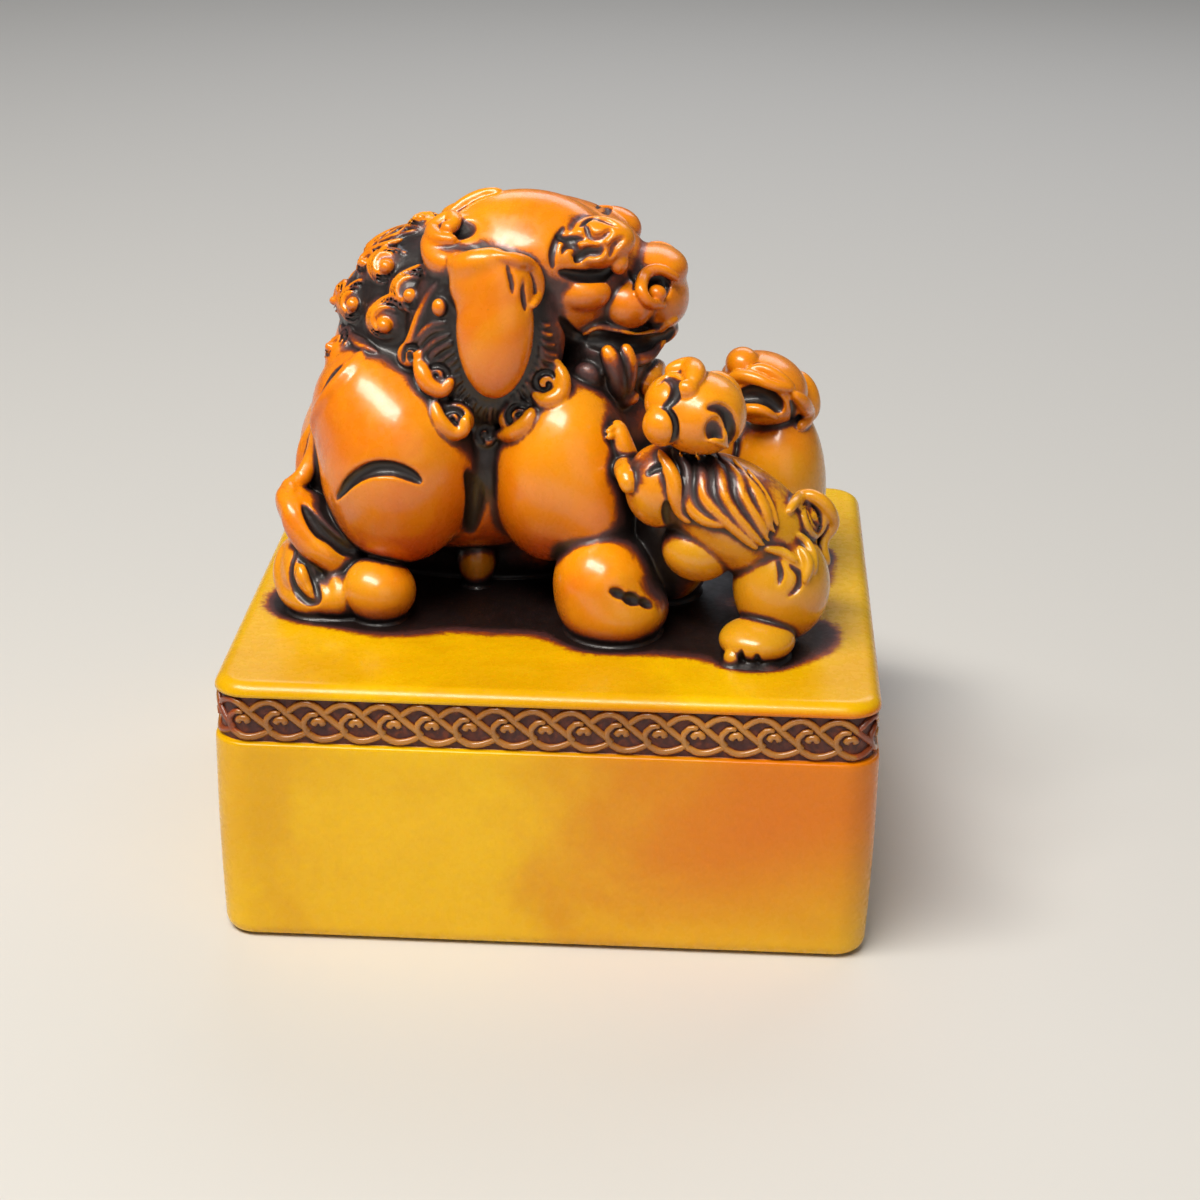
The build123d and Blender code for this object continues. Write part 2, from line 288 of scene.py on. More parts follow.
def curve(points):
    """A smooth line through points, with six steps from each to the next."""
    p = np.asarray(points, float)
    steps = 6
    if len(p) < 3:
        return np.linspace(p[0], p[-1], steps)
    p = np.vstack([2 * p[0] - p[1], p, 2 * p[-1] - p[-2]])
    out = []
    for a, b, c, d in zip(p, p[1:], p[2:], p[3:]):
        for t in np.arange(steps) / steps:
            bend = (2 * a - 5 * b + 4 * c - d) * t * t
            out.append(0.5 * (2 * b + (c - a) * t + bend + (3 * b - a - 3 * c + d) * t ** 3))
    out.append(p[-2])
    return np.array(out)


def swell(count, thick, ends):
    """Radii of a strand: thick in its middle, and that share of it at its ends."""
    t = np.linspace(0, 1, count)
    return thick * (ends + (1 - ends) * np.sin(math.pi * t) ** 0.6)


def eased(line):
    """A line with its small kinks smoothed away."""
    for _ in range(3):
        line = np.vstack([line[:1], (line[:-2] + 2 * line[1:-1] + line[2:]) / 4, line[-1:]])
    return line


def strand(name, pixels, thick, lift=0.3, soft=0.3, pair=False, ends=0.35):
    """A raised strand drawn over the photograph and laid on the stone."""
    line = eased(settle(seen(curve(pixels)), 2))
    line = line + slope(line) * thick * lift
    chain(name, line, swell(len(line), thick, ends), soft, pair)


def groove(pixels, thick, sink=0.0, soft=0.3, pair=False, ends=0.2):
    """A cut line drawn over the photograph."""
    line = eased(settle(seen(curve(pixels)), 2))
    line = line - slope(line) * sink
    chain(None, line, swell(len(line), thick, ends), soft, pair, take=True)


def draw(lines, pair=False):
    """Draws named lines over the photograph in turn: strands of a form, and cuts where it has no form.
    A line has its form, its thickness, how far it stands out, in thicknesses, or sinks in, in mm, how
    softly it joins, how thick its ends are beside its middle, and its pixels."""
    for form, thick, height, soft, ends, pixels in lines.values():
        if form:
            strand(form, pixels, thick, height, soft, pair, ends)
        else:
            groove(pixels, thick, height, soft, pair, ends)


def bead(name, pixel, halves, soft, pair=False, shift=(0, 0, 0), margin=1.2, turn=None, take=False):
    """A small ellipsoid on the stone under a pixel of the photograph, moved by shift in mm."""
    ball(name, seen(pixel)[0] + np.array(shift), halves, turn, soft, pair, margin, take)


def frame_at(point):
    """Outward, sideways and upward directions at a point of the surface."""
    out = slope(point[None])[0]
    up = UP - out * (UP @ out)
    if np.linalg.norm(up) < 0.3:
        up = FORWARD - out * (FORWARD @ out)
    up = up / np.linalg.norm(up)
    return out, np.cross(up, out), up


# Where the strands of a curl run, in thicknesses: how far apart at the rim and at the bead, how far
# out the seam between two of them is, and how far a strand and its seam stand out
APART, CLOSE, SEAM_OUT, STRAND_UP, SEAM_UP = 1.75, 1.3, 0.87, 0.25, 0.3
SEAM_THICK = 0.2
# The scroll of a lobe: its cut's thickness and turns, and how near its middle it ends
SCROLL_THICK, SCROLL_TURNS, SCROLL_IN = 0.4, 1.15, 0.82
# Beads that the rubbing cloth wiped clean: place and radius
clean_beads = []


def spiral(centre, side, up, angle, radius):
    """Points round a centre on the surface, settled on it and eased."""
    line = centre + (np.cos(angle) * radius)[:, None] * side + (np.sin(angle) * radius)[:, None] * up
    return eased(settle(line, 3))


def curl(name, place, size, start, hand, turns, ropes, thick, bead_size, pair=False, aside=0.0):
    """Strands that hook round a bead, on the surface round a place; the bead may lie aside of it."""
    centre = settle(place)[0]
    out, side, up = frame_at(centre)
    t = np.linspace(0, 1, int(20 * turns) + 4)
    seams = []
    for rope in range(ropes):
        outer = size - rope * thick * APART
        inner = bead_size + 0.15 + (ropes - 1 - rope) * thick * CLOSE + aside * size * 0.6
        angle = math.radians(start + 10 * rope) + hand * t * turns * 2 * math.pi
        radius = outer + (min(inner, outer) - outer) * t ** 1.5
        line = spiral(centre, side, up, angle, radius) + out * thick * STRAND_UP
        chain(name, line, thick * (0.5 + 0.5 * np.sin(math.pi * np.clip(t + 0.1, 0, 1))), 0.15, pair)
        if rope:
            seams.append(spiral(centre, side, up, angle, radius + thick * SEAM_OUT) + out * thick * SEAM_UP)
    for seam in seams:
        chain(None, seam, SEAM_THICK, 0.1, pair, take=True)
    last = math.radians(start) + hand * turns * 2 * math.pi
    middle = centre + (math.cos(last) * side + math.sin(last) * up) * aside * size
    middle = settle(middle)[0] + out * bead_size * 0.2
    ball(name, middle, (bead_size,) * 3, soft=0.2, pair=pair, margin=1.2)
    clean_beads.append((middle, bead_size))
    if pair:
        clean_beads.append((far_places(middle)[0], bead_size))


def scroll_cut(place, size, start, hand):
    """A spiral cut into a lobe on both sides of the lion, from its rim to its middle."""
    centre = settle(place)[0]
    out, side, up = frame_at(centre)
    t = np.linspace(0, 1, 26)
    angle = math.radians(start) + hand * t * SCROLL_TURNS * 2 * math.pi
    line = spiral(centre, side, up, angle, size * (1 - SCROLL_IN * t ** 0.9)) - out * 0.2
    thick = SCROLL_THICK * (0.8 + 0.35 * np.sin(math.pi * t))
    chain(None, line, thick, 0.15, pair=True, take=True)


# The main forms: name, how softly it joins, centre, half lengths and, where it is turned, axis and degrees
BOTH_SIDES = ("lion_cheeks", "lion_brows")
lion_forms = [
    ("lion_trunk", 0.8, (-14, 0, 51.4), (20.2, 14.4, 13)),
    ("lion_chest", 2, (4.3, -0.6, 51.9), (9, 11.4, 17.4)),
    ("lion_neck", 1.5, (-14.4, 0, 68.1), (14.4, 13.5, 13)),
    ("lion_skull", 1.2, (-2.2, -1.2, 75.1), (12.6, 12, 9.4)),
    ("near_haunch", 1.0, (-20.3, -11.1, 53), (10.1, 11.1, 13.2)),
    ("near_shoulder", 1.0, (-0.2, -10.2, 52.7), (8.5, 10.1, 12.4), "Y", 8),
    ("lion_tail", 1.5, (-29.9, -0.6, 51.5), (4.2, 9, 11.5), "Y", 12),
    ("lion_tail", 2, (-27.0, -0.6, 62), (3.4, 7, 6)),
    ("near_haunch", 2.5, (-24.0, -9.0, 59.5), (7.4, 8.6, 8.5), "Y", 20),
    # Painted shade: this low mass walls off the hollow under the belly, where the stains darken it as shade
    ("lion_trunk", 1.5, (-11, 4, 41), (18, 8, 10)),
    ("lion_chest", 1.5, (12, -4, 43), (8, 8, 12)),
    ("lion_chest", 1.5, (5.5, -5.5, 66), (5.6, 6, 6)),
    ("near_shoulder", 2.5, (3.6, -12.8, 49.5), (5.6, 7.6, 10), "Y", -14),
    ("near_hind_leg", 0.5, (-30, -12, 43.4), (7.9, 5.1, 3.1), "Y", 45),
    ("near_hind_leg", 0.6, (-32, -11, 38.2), (4, 6.6, 5)),
    ("near_hind_foot", 0.5, (-28.1, -13, 36.3), (7, 6.5, 3.4)),
    ("near_hind_foot", 0.3, (-22.5, -16.5, 37.6), (4.7, 4.8, 4.2), "Y", 12),
    ("near_forepaw", 0.9, (5.8, -17.8, 40.0), (6.3, 7.4, 6.8)),
    ("near_forepaw", 2.0, (7.4, -18.2, 37.0), (6.6, 7.4, 4.6)),
    ("tucked_paw", 0.3, (-11.3, -4, 37.6), (2.6, 3, 4)),
    ("lion_snout", 0.8, (7.9, -1.2, 73.6), (6.9, 8.1, 4.6)),
    ("lion_snout", 0.3, (7.6, -8.0, 73.2), (3.5, 3.3, 3.2)),
    ("lion_snout", 0.3, (7.6, 5.6, 73.2), (3.5, 3.3, 3.2)),
    ("lion_snout", 0.8, (11.2, -1.2, 72.2), (4.0, 6.4, 3.9)),
    ("lion_nose", 0.8, (10.6, -1.6, 76.2), (4.4, 5.2, 2.9)),
    ("lion_jaw", 0.6, (9.0, -1.2, 68.3), (5.0, 6.2, 2.2)),
    ("lion_cheeks", 0.3, (1.8, -10.6, 75.2), (4.0, 2.8, 2.5)),
    ("near_ruff", 0.6, (-9.5, -12, 69.9), (9.8, 4.4, 11.5)),
    ("near_crest_lobe", 0.5, (-5.0, -5.8, 79.7), (10.4, 7.4, 6.8)),
    ("near_crest_lobe", 1.6, (-12.6, -9.4, 79.4), (4.8, 4.4, 4.3)),
    ("near_crest_lobe", 1.6, (-5.5, -10.0, 79.2), (9.2, 4.2, 3.7)),
    ("lion_brows", 0.3, (3.7, -9.3, 81.0), (4.9, 3.6, 3.3), "Y", -8),
    ("near_ear", 0.2, (-7.9, -17.1, 72.3), (4.7, 3.1, 8.7), "X", -10),
    ("near_ear", 1.2, (-8.5, -16.0, 77.0), (5.0, 2.7, 4.2)),
]
cub_forms = [
    ("rear_cub_body", 0.6, (27.3, 3, 45.8), (6.4, 8, 12.4)),
    ("rear_cub_head", 0.5, (25, 1.5, 60), (5.8, 6.2, 4.6), "Y", 14),
    ("rear_cub_paws", 0.5, (23.8, 11.4, 36.2), (3.4, 4.8, 3.2)),
    ("rear_cub_paws", 0.5, (31, 10.2, 36.2), (3.4, 4.8, 3.2)),
    ("rear_cub_paws", 0.5, (18.4, 1.8, 51.2), (3.6, 3, 3.6)),
    ("front_cub_chest", 1.0, (14.5, -11.5, 47), (5.5, 7, 11)),
    ("front_cub_body", 1.0, (22, -18, 49.5), (10.5, 7, 6.5), "Y", 32),
    ("front_cub_chest", 0.8, (12.6, -19, 53.4), (4.4, 5, 5.2)),
    ("front_cub_thigh", 0.5, (27.8, -20, 41.4), (6.0, 6, 7.2)),
    ("front_cub_knee", 0.4, (17.4, -19.5, 45.5), (4.5, 4.5, 3.9), "Y", 10),
    ("front_cub_paw", 0.4, (25.0, -25, 36), (4.7, 4.6, 2.6), "Z", 20),
    ("front_cub_head", 0.5, (17.2, -19.5, 63), (5.6, 6, 5.0)),
    ("front_cub_head", 1.2, (13.9, -20.0, 64.4), (3.5, 4.0, 3.4)),
    ("front_cub_nose", 0.25, (12.7, -22.8, 62.4), (2.4, 2.7, 2.6)),
    ("front_cub_tail", 0.4, (30.8, -15.5, 48.9), (3.0, 2.4, 3.2)),
]
for name, soft, centre, halves, *turn in lion_forms + cub_forms:
    ball(name, centre, halves, turn, soft, pair=name.startswith("near_") or name in BOTH_SIDES)

# The lion's details, drawn over the photograph
keep_ground()
legs = {
    "fold of the thigh": (
        None, 1.0, 0.1, 0.3, 0.2, [(336, 499), (350, 481), (370, 470), (392, 469), (410, 475), (421, 482)],
    ),
    "parting of haunch and shoulder": (None, 1.3, -0.4, 0.8, 0.2, [(466, 470), (474, 500), (470, 540)]),
    "crease of the back": (None, 0.5, 0.0, 0.3, 0.2, [(341, 367), (332, 377), (322, 396), (313, 420)]),
    "ridge of the thigh": (
        "near_haunch", 0.9, -0.3, 0.8, 0.35, [(364, 351), (340, 378), (320, 405), (306, 432)],
    ),
    "inner strip of the tail": (
        "lion_tail", 1.3, -0.3, 0.4, 0.35, [(312, 424), (305, 445), (302, 470), (300, 492)],
    ),
    "outer strip of the tail": (
        "lion_tail", 1.2, -0.3, 0.4, 0.35, [(303, 430), (294, 455), (290, 475), (291, 493)],
    ),
    "shin": (
        "near_hind_leg", 1.7, -0.45, 0.8, 0.35,
        [(290, 500), (290, 525), (305, 547), (325, 562), (342, 578)],
    ),
    "fold of the shin": (None, 1.0, 0.1, 0.5, 0.2, [(303, 505), (318, 528), (340, 546), (355, 552)]),
    "heel": (
        "near_hind_leg", 1.4, -0.45, 0.7, 0.35,
        [(292, 536), (277, 556), (275, 578), (288, 600), (312, 614), (336, 620)],
    ),
    "sole": (
        "near_hind_leg", 1.3, -0.45, 0.7, 0.35,
        [(298, 545), (318, 552), (334, 572), (340, 590), (338, 612)],
    ),
    "cut round the heel": (
        None, 0.6, -0.1, 0.3, 0.2, [(296, 552), (290, 576), (304, 600), (318, 600), (312, 580), (298, 556)],
    ),
    "tendon": ("near_hind_leg", 0.9, 0.0, 0.3, 0.35, [(301, 566), (303, 580), (310, 592)]),
}
draw(legs, pair=True)

ear = {
    "folded edge": (
        "near_ear", 1.1, 0.2, 0.3, 0.35, [(500, 258), (517, 262), (532, 272), (536, 290), (531, 306)],
    ),
    "crease beside the fold": (None, 0.4, 0.0, 0.3, 0.2, [(507, 266), (512, 282), (513, 294)]),
    "crease in the fold": (None, 0.45, 0.0, 0.3, 0.2, [(524, 280), (524, 296), (526, 312)]),
}
draw(ear, pair=True)
bead("near_ear", (517, 263), (0.8, 0.8, 0.8), 0.2, pair=True)

# Ruff: a thin rim, a bead, fine hairs from the ear outwards, and scrolls along its edge
RIM_DEPTH = -14.2
rim = at_depth(curve([(458, 270), (436, 287), (421, 312), (411, 338), (402, 354)]), RIM_DEPTH)
chain("near_ruff", rim, swell(len(rim), 0.6, 0.7), 0.2, pair=True)
bead("near_ruff", (440, 307), (1.0, 1.0, 1.2), 0.2, pair=True, shift=(0, -0.2, 0))
ruff_edge = curve([
    (412, 345), (417, 372), (432, 402), (445, 424), (470, 438), (497, 436), (522, 424), (545, 404),
    (562, 382), (556, 350), (548, 320),
])
ear_edge = curve([
    (452, 318), (458, 335), (463, 355), (468, 380), (480, 396), (492, 400), (508, 392), (520, 380),
    (530, 362), (537, 340), (540, 320),
])
HAIR_FROM, HAIR_BEND, HAIR_TO = 0.16, 0.4, 0.97
hairs = 34
for share in (np.arange(hairs) + 0.5) / hairs:
    a, b = [edge[int(share * (len(edge) - 1))] for edge in (ear_edge, ruff_edge)]
    a = a + HAIR_FROM * (b - a)
    side = np.array([-(b - a)[1], (b - a)[0]]) * rng.uniform(0.05, 0.22)
    hair = [a, a + (b - a) * HAIR_BEND + side, a + (b - a) * HAIR_TO]
    strand("near_ruff", hair, rng.uniform(0.3, 0.42), lift=0.25, soft=0.15, pair=True, ends=0.6)
# Pixel, radius in mm, first angle and hand of each scroll
scrolls = [
    ((438, 378), 2.5, 200, -1), ((455, 420), 2.2, 230, -1), ((545, 385), 2.6, 330, 1),
    ((518, 418), 2.3, 40, 1), ((412, 355), 1.7, 210, -1), ((486, 434), 1.6, 250, -1),
]
for place, size, start, hand in scrolls:
    halves = (size * 1.08, 1.7, size * 1.08)
    bead("near_ruff_curls", place, halves, 0.4, pair=True, shift=(0, 0.1, 0), margin=1.5)
keep_ground()
for place, size, start, hand in scrolls:
    scroll_cut(seen(place)[0], size * 0.86, start, hand)
ruff_curls = {
    "hook at the back": (
        "near_ruff_curls", 1.15, 0.0, 0.4, 0.35,
        [(420, 352), (421, 368), (428, 384), (442, 390), (451, 380)],
    ),
    "hook under it": (
        "near_ruff_curls", 1.05, 0.0, 0.4, 0.35,
        [(434, 400), (438, 418), (450, 432), (463, 430), (466, 418)],
    ),
    "hook at the throat": (
        "near_ruff_curls", 1.1, 0.0, 0.4, 0.35,
        [(556, 362), (563, 378), (560, 394), (546, 401), (534, 394)],
    ),
    "hook at the foot": (
        "near_ruff_curls", 1.15, 0.0, 0.4, 0.35, [(497, 434), (512, 434), (526, 424), (533, 410)],
    ),
}
draw(ruff_curls, pair=True)

# Crest: a smooth lobe with a scroll cut into its rear end, and the far lobe's own rim
bead(None, (458, 226), (2.6, 1.9, 2.1), 0.6, pair=True, shift=(0, -0.6, 0.6), margin=3.0, take=True)
crest_scroll = [(452, 240), (438, 238), (432, 226), (438, 216), (450, 215), (455, 223), (450, 229)]
strand("near_crest_lobe", crest_scroll, 0.95, lift=0.1, soft=0.4, pair=True, ends=0.7)
bead("near_crest_lobe", (449, 228), (1.0, 1.2, 1.0), 0.3, pair=True)
crest_foot = [(426, 240), (432, 256), (448, 264), (470, 260), (495, 254)]
strand("near_crest_lobe", crest_foot, 1.6, lift=-0.3, soft=1.2, pair=True, ends=0.6)
far_rim = [(436, 215), (450, 205), (478, 197), (500, 192)]
strand("far_crest_lobe", far_rim, 0.9, lift=0.2)
temple = [(563, 228), (556, 240), (552, 256), (553, 268)]
groove(temple, 0.5, pair=True)

# Mane: curls of three strands with a bead in each, and combed ground between them
CURL = {"turns": 0.74, "ropes": 3, "thick": 0.42, "aside": 0.22}
BACK_CURL = 2.9
# Pixel, radius in mm, first angle and hand of each curl in sight, and places in mm of those at the back
mane = [
    ((384, 263), 3.2, 40, 1), ((409, 290), 3.5, 20, 1), ((383, 320), 3.4, 20, 1), ((350, 302), 3.0, 60, 1),
]
back_mane = [(-24, -4.5, 76), (-28.5, -1.2, 71), (-18.5, -1.2, 82.5), (-28, -8, 66)]
for place, size, start, hand in mane:
    point = seen(place)[0]
    mound = point - slope(point[None])[0] * 1.9
    ball("mane_curls", mound, (size, size, size), soft=0.6, pair=True, margin=1.5)
for place in back_mane:
    point = settle(place)[0]
    mound = point - slope(point[None])[0] * 1.8
    ball("mane_curls", mound, (3.0, 3.0, 3.0), soft=0.6, pair=abs(place[1] - MIDDLE) > 1, margin=1.5)
keep_ground()
combed = [[(412, 226), (398, 232), (384, 242), (372, 254)], [(344, 330), (356, 341), (374, 348)]]
for line in combed:
    for shift in (-5, 0, 5):
        moved = [(u + shift * 0.8, v + shift) for u, v in line]
        strand("lion_neck", moved, 0.5, lift=0.25, soft=0.1, pair=True)
for place, size, start, hand in mane:
    curl("mane_curls", seen(place)[0], size, start, hand, bead_size=0.9, pair=True, **CURL)
for place in back_mane:
    off_middle = abs(place[1] - MIDDLE) > 1
    curl("mane_curls", settle(place)[0], BACK_CURL, 10, 1, bead_size=0.55, pair=off_middle, **CURL)

# Face: scrolls of the brow, the eye, the nostril, the lips and the beard
brow = {
    "upper edge": (None, 0.5, 0.1, 0.3, 0.2, [(580, 226), (592, 217), (606, 220), (618, 226)]),
    "outer corner": (None, 0.5, 0.1, 0.3, 0.2, [(556, 236), (566, 240), (580, 238), (588, 240)]),
    "rear loop": (None, 0.45, 0.1, 0.3, 0.2, [(562, 254), (566, 246), (574, 246), (577, 252), (572, 256)]),
    "line over the eyelid": (None, 0.8, 0.2, 0.3, 0.5, [(577, 260), (586, 253), (598, 253), (604, 246)]),
    "middle loop": (
        None, 0.6, 0.15, 0.3, 0.5, [(586, 226), (588, 234), (595, 239), (604, 236), (610, 230)],
    ),
}
draw(brow, pair=True)
far_loop = [(597, 208), (602, 204), (609, 207), (607, 213), (602, 212)]
groove(far_loop, 0.4, sink=0.1)
eye = {
    "inner corner": (None, 0.6, 0.1, 0.3, 0.2, [(610, 258), (614, 246), (624, 238)]),
    "lower lid": (None, 0.8, 0.1, 0.4, 0.2, [(560, 272), (580, 276), (602, 276), (612, 268)]),
}
draw(eye, pair=True)
bead("lion_eyes", (619, 263), (1.15, 1.2, 1.5), 0.15, pair=True, shift=(0, 0.2, 0))
nostril = {
    "crease before the eye": (None, 0.5, 0.0, 0.3, 0.2, [(629, 272), (638, 283), (634, 290)]),
    "opening": (
        None, 0.9, 0.2, 0.3, 0.9, [(652, 300), (644, 288), (652, 277), (666, 280), (664, 292), (655, 292)],
    ),
    "wing": (
        "lion_nostrils", 0.8, 0.6, 0.1, 0.7,
        [(673, 277), (662, 271), (650, 272), (641, 282), (640, 294), (648, 304), (660, 304)],
    ),
}
draw(nostril, pair=True)
bead("lion_nostrils", (657, 293), (1.2, 1.1, 1.1), 0.1, pair=True, shift=(0, -0.3, 0))
mouth = {
    "upper lip": (
        "lion_lips", 0.55, 0.5, 0.3, 0.35,
        [(583, 333), (597, 325), (614, 330), (635, 338), (655, 331), (666, 323), (676, 318)],
    ),
    "opening": (None, 1.5, -0.1, 0.4, 0.2, [(588, 342), (610, 343), (636, 348), (660, 342), (678, 332)]),
    "corner": (None, 0.7, 0.0, 0.3, 0.2, [(560, 318), (572, 334), (586, 338)]),
    "lower lip": ("lion_jaw", 0.8, 0.2, 0.3, 0.35, [(604, 372), (622, 362), (645, 358), (668, 344)]),
}
draw(mouth, pair=True)
bead("lion_neck", (588, 378), (2.0, 1.6, 2.0), 0.3, pair=True, shift=(0, 0.6, 0), margin=1.5)
beard = {
    "rear lock": ("lion_beard", 1.3, 0.3, 0.3, 0.7, [(608, 352), (615, 368), (618, 390)]),
    "front lock": ("lion_beard", 1.1, 0.3, 0.3, 0.7, [(625, 350), (628, 366), (626, 388)]),
}
draw(beard)
bead("lion_beard", (620, 397), (2.4, 1.4, 1.4), 0.5, shift=(0, 0.2, 0), margin=3.0)

# Front cub: tuft, eye, cheek, ear, wavy mane, arm with wrist rings, toes, flank hair and tail
keep_ground()
tuft = {
    "rear lock": ("front_cub_tuft", 1.5, 0.2, 0.3, 0.35, [(652, 398), (645, 384), (652, 370), (666, 367)]),
    "front lock": ("front_cub_tuft", 1.5, 0.2, 0.3, 0.35, [(668, 367), (684, 365), (695, 375), (692, 387)]),
}
draw(tuft)
bead("front_cub_head", (687, 390), (1.4, 1.1, 1.3), 0.15)
cub_face = {
    "eye": (None, 0.75, 0.0, 0.3, 0.2, [(658, 384), (666, 376), (676, 384), (674, 398), (664, 408)]),
    "mouth": (None, 0.42, 0.1, 0.3, 0.2, [(667, 408), (674, 418), (676, 432), (670, 446)]),
    "cheek": (None, 0.9, 0.2, 0.4, 0.2, [(708, 408), (722, 408), (732, 420), (734, 438), (728, 450)]),
}
draw(cub_face)
bead(None, (720, 432), (1.9, 1.4, 2.2), 0.3, shift=(0, -0.5, 0), margin=3.0, turn=("Y", -20), take=True)
inner_ear = [(708, 440), (718, 441), (730, 450)]
strand("front_cub_ears", inner_ear, 0.42, lift=0.3)
ball("front_cub_ears", (19.4, -14.6, 63.6), (2.8, 2.0, 3.4), ("Y", -30), soft=0.3)
keep_ground()
waves = [
    [(673, 452), (687, 474), (690, 500), (705, 518), (730, 524)],
    [(689, 454), (702, 474), (705, 498), (725, 518), (755, 546)],
    [(708, 458), (720, 476), (724, 498), (740, 520), (760, 542)],
    [(724, 464), (737, 482), (742, 500), (755, 518), (765, 534)],
    [(738, 474), (752, 494), (762, 512), (768, 528)],
    [(660, 454), (672, 478), (676, 502), (690, 520)],
]
for line in waves:
    strand("front_cub_mane", line, 1.05, lift=0.3, soft=0.1)
for line in waves[:-1]:
    strand("front_cub_mane", [(u + 8, v - 2) for u, v in line], 0.5, lift=0.9, soft=0.1)
cub_arm = {
    "crease of the belly": (None, 0.6, 0.0, 0.3, 0.2, [(666, 502), (666, 514), (668, 524)]),
    "crease of the shoulder": (None, 0.45, 0.0, 0.3, 0.2, [(648, 474), (656, 468), (668, 466)]),
    "forearm": ("front_cub_arm", 1.5, 0.35, 0.2, 0.6, [(614, 428), (618, 445), (626, 465), (636, 486)]),
    "first wrist ring": ("front_cub_arm", 0.5, 1.0, 0.1, 0.7, [(606, 432), (613, 428), (621, 430)]),
    "second wrist ring": ("front_cub_arm", 0.5, 1.0, 0.1, 0.7, [(606, 438), (614, 435), (623, 437)]),
}
draw(cub_arm)
toes = [((733, 657), 1.15), ((748, 667), 1.2), ((766, 670), 1.2)]
for place, size in toes:
    bead("front_cub_paw", place, (size, size * 1.2, size), 0.25)
cub_leg = {
    "first gap of the toes": (None, 0.35, 0.0, 0.3, 0.2, [(741, 650), (742, 662), (744, 670)]),
    "second gap of the toes": (None, 0.35, 0.0, 0.3, 0.2, [(757, 654), (758, 664), (760, 674)]),
    "rear cut of the flank": (None, 0.45, -0.05, 0.3, 0.2, [(778, 562), (781, 574), (778, 586)]),
    "front cut of the flank": (
        None, 0.5, -0.05, 0.3, 0.2, [(789, 565), (800, 575), (798, 588), (787, 597)],
    ),
    "upper hair of the flank": (
        "front_cub_thigh", 0.6, 0.2, 0.3, 0.35, [(766, 548), (782, 552), (797, 562)],
    ),
    "rear hair of the flank": (
        "front_cub_thigh", 0.7, 0.2, 0.3, 0.35, [(800, 548), (808, 564), (804, 582)],
    ),
}
draw(cub_leg)
curl("front_cub_tail", seen((808, 519))[0], 2.6, 150, -1, turns=1.5, ropes=2, thick=0.6, bead_size=0.7)
cub_tail = {
    "outer lock": (
        "front_cub_tail", 0.95, 0.3, 0.3, 0.35,
        [(788, 512), (796, 500), (810, 497), (824, 506), (832, 524), (834, 545), (831, 562)],
    ),
    "inner lock": ("front_cub_tail", 0.6, 0.4, 0.3, 0.35, [(798, 534), (806, 544), (812, 556), (814, 572)]),
}
draw(cub_tail)

# Rear cub: nose, wavy lip, open mouth, cheek and ear
bead("rear_cub_nose", (741, 366), (2.2, 2.4, 2.1), 0.3, shift=(0.2, 1.2, 0), margin=3.0)
rear_cub_face = {
    "upper lip": (
        "rear_cub_head", 0.9, 0.4, 0.3, 0.35, [(722, 384), (738, 377), (756, 380), (770, 386), (790, 390)],
    ),
    "moustache": ("rear_cub_head", 0.8, 0.4, 0.3, 0.35, [(748, 372), (762, 370), (778, 378), (792, 388)]),
    "open mouth": (None, 1.35, 0.3, 0.2, 0.2, [(733, 402), (745, 396), (760, 396), (776, 405), (781, 412)]),
    "lower lip": ("rear_cub_jaw", 0.75, 0.4, 0.3, 0.35, [(736, 411), (748, 408), (762, 409), (776, 416)]),
    "edge of the ear": (
        "rear_cub_ears", 1.1, 0.3, 0.3, 0.35, [(792, 394), (802, 404), (805, 418), (799, 428)],
    ),
}
draw(rear_cub_face)
ball("rear_cub_ears", (30.2, 5.8, 57.7), (2.2, 2, 3.6), ("Y", -20), soft=0.3)
rear_cheek = [(790, 400), (794, 410), (792, 420)]
groove(rear_cheek, 0.4)

# The chip in the forepaw: three short cuts, from pixel to pixel
chip = [((610, 590), (626, 597), 0.75), ((622, 596), (640, 602), 0.8), ((638, 600), (651, 606), 0.6)]
for a, b, thick in chip:
    groove([a, b], thick, sink=-0.1, soft=0.1)

# Feet run into the block's top in a small fillet; the carving is closed just under it
FILLET, UNDER = 0.9, 0.35
cut, x, y, z = window(LOW, HIGH)
on_block = smooth_min(field, np.broadcast_to(z - TOP, field.shape), FILLET)
field = np.maximum(on_block, field - 0.9 * FILLET)
field = np.maximum(field, (TOP - UNDER) - z)
for axis in range(3):
    edge = [slice(None)] * 3
    for end in (0, -1):
        edge[axis] = end
        field[tuple(edge)] = np.maximum(field[tuple(edge)], 1.0)


# Hollows
def along_axis(axis, start, stop):
    """Slices of a volume from start to stop along one axis."""
    cut = [slice(None)] * 3
    cut[axis] = slice(start, stop)
    return tuple(cut)


def blurred(volume, radius):
    """Mean of a volume over a cube of about that radius in mm."""
    reach = max(1, int(round(radius / STEP)))
    wide = 2 * reach + 1
    for axis in range(3):
        pad = [(0, 0)] * 3
        pad[axis] = (reach + 1, reach)
        total = np.cumsum(np.pad(volume, pad, mode="edge"), axis=axis, dtype=np.float32)
        volume = (total[along_axis(axis, wide, None)] - total[along_axis(axis, None, -wide)]) / wide
    return volume


solid = np.clip(0.5 - field / STEP, 0, 1).astype(np.float32)
solid[:, :, : int((TOP - LOW[2]) / STEP) + 1] = 1.0
RADII = (0.45, 1.4, 3.2)
hollow_fine, hollow_middle, hollow_wide = [blurred(blurred(solid, radius), radius) for radius in RADII]
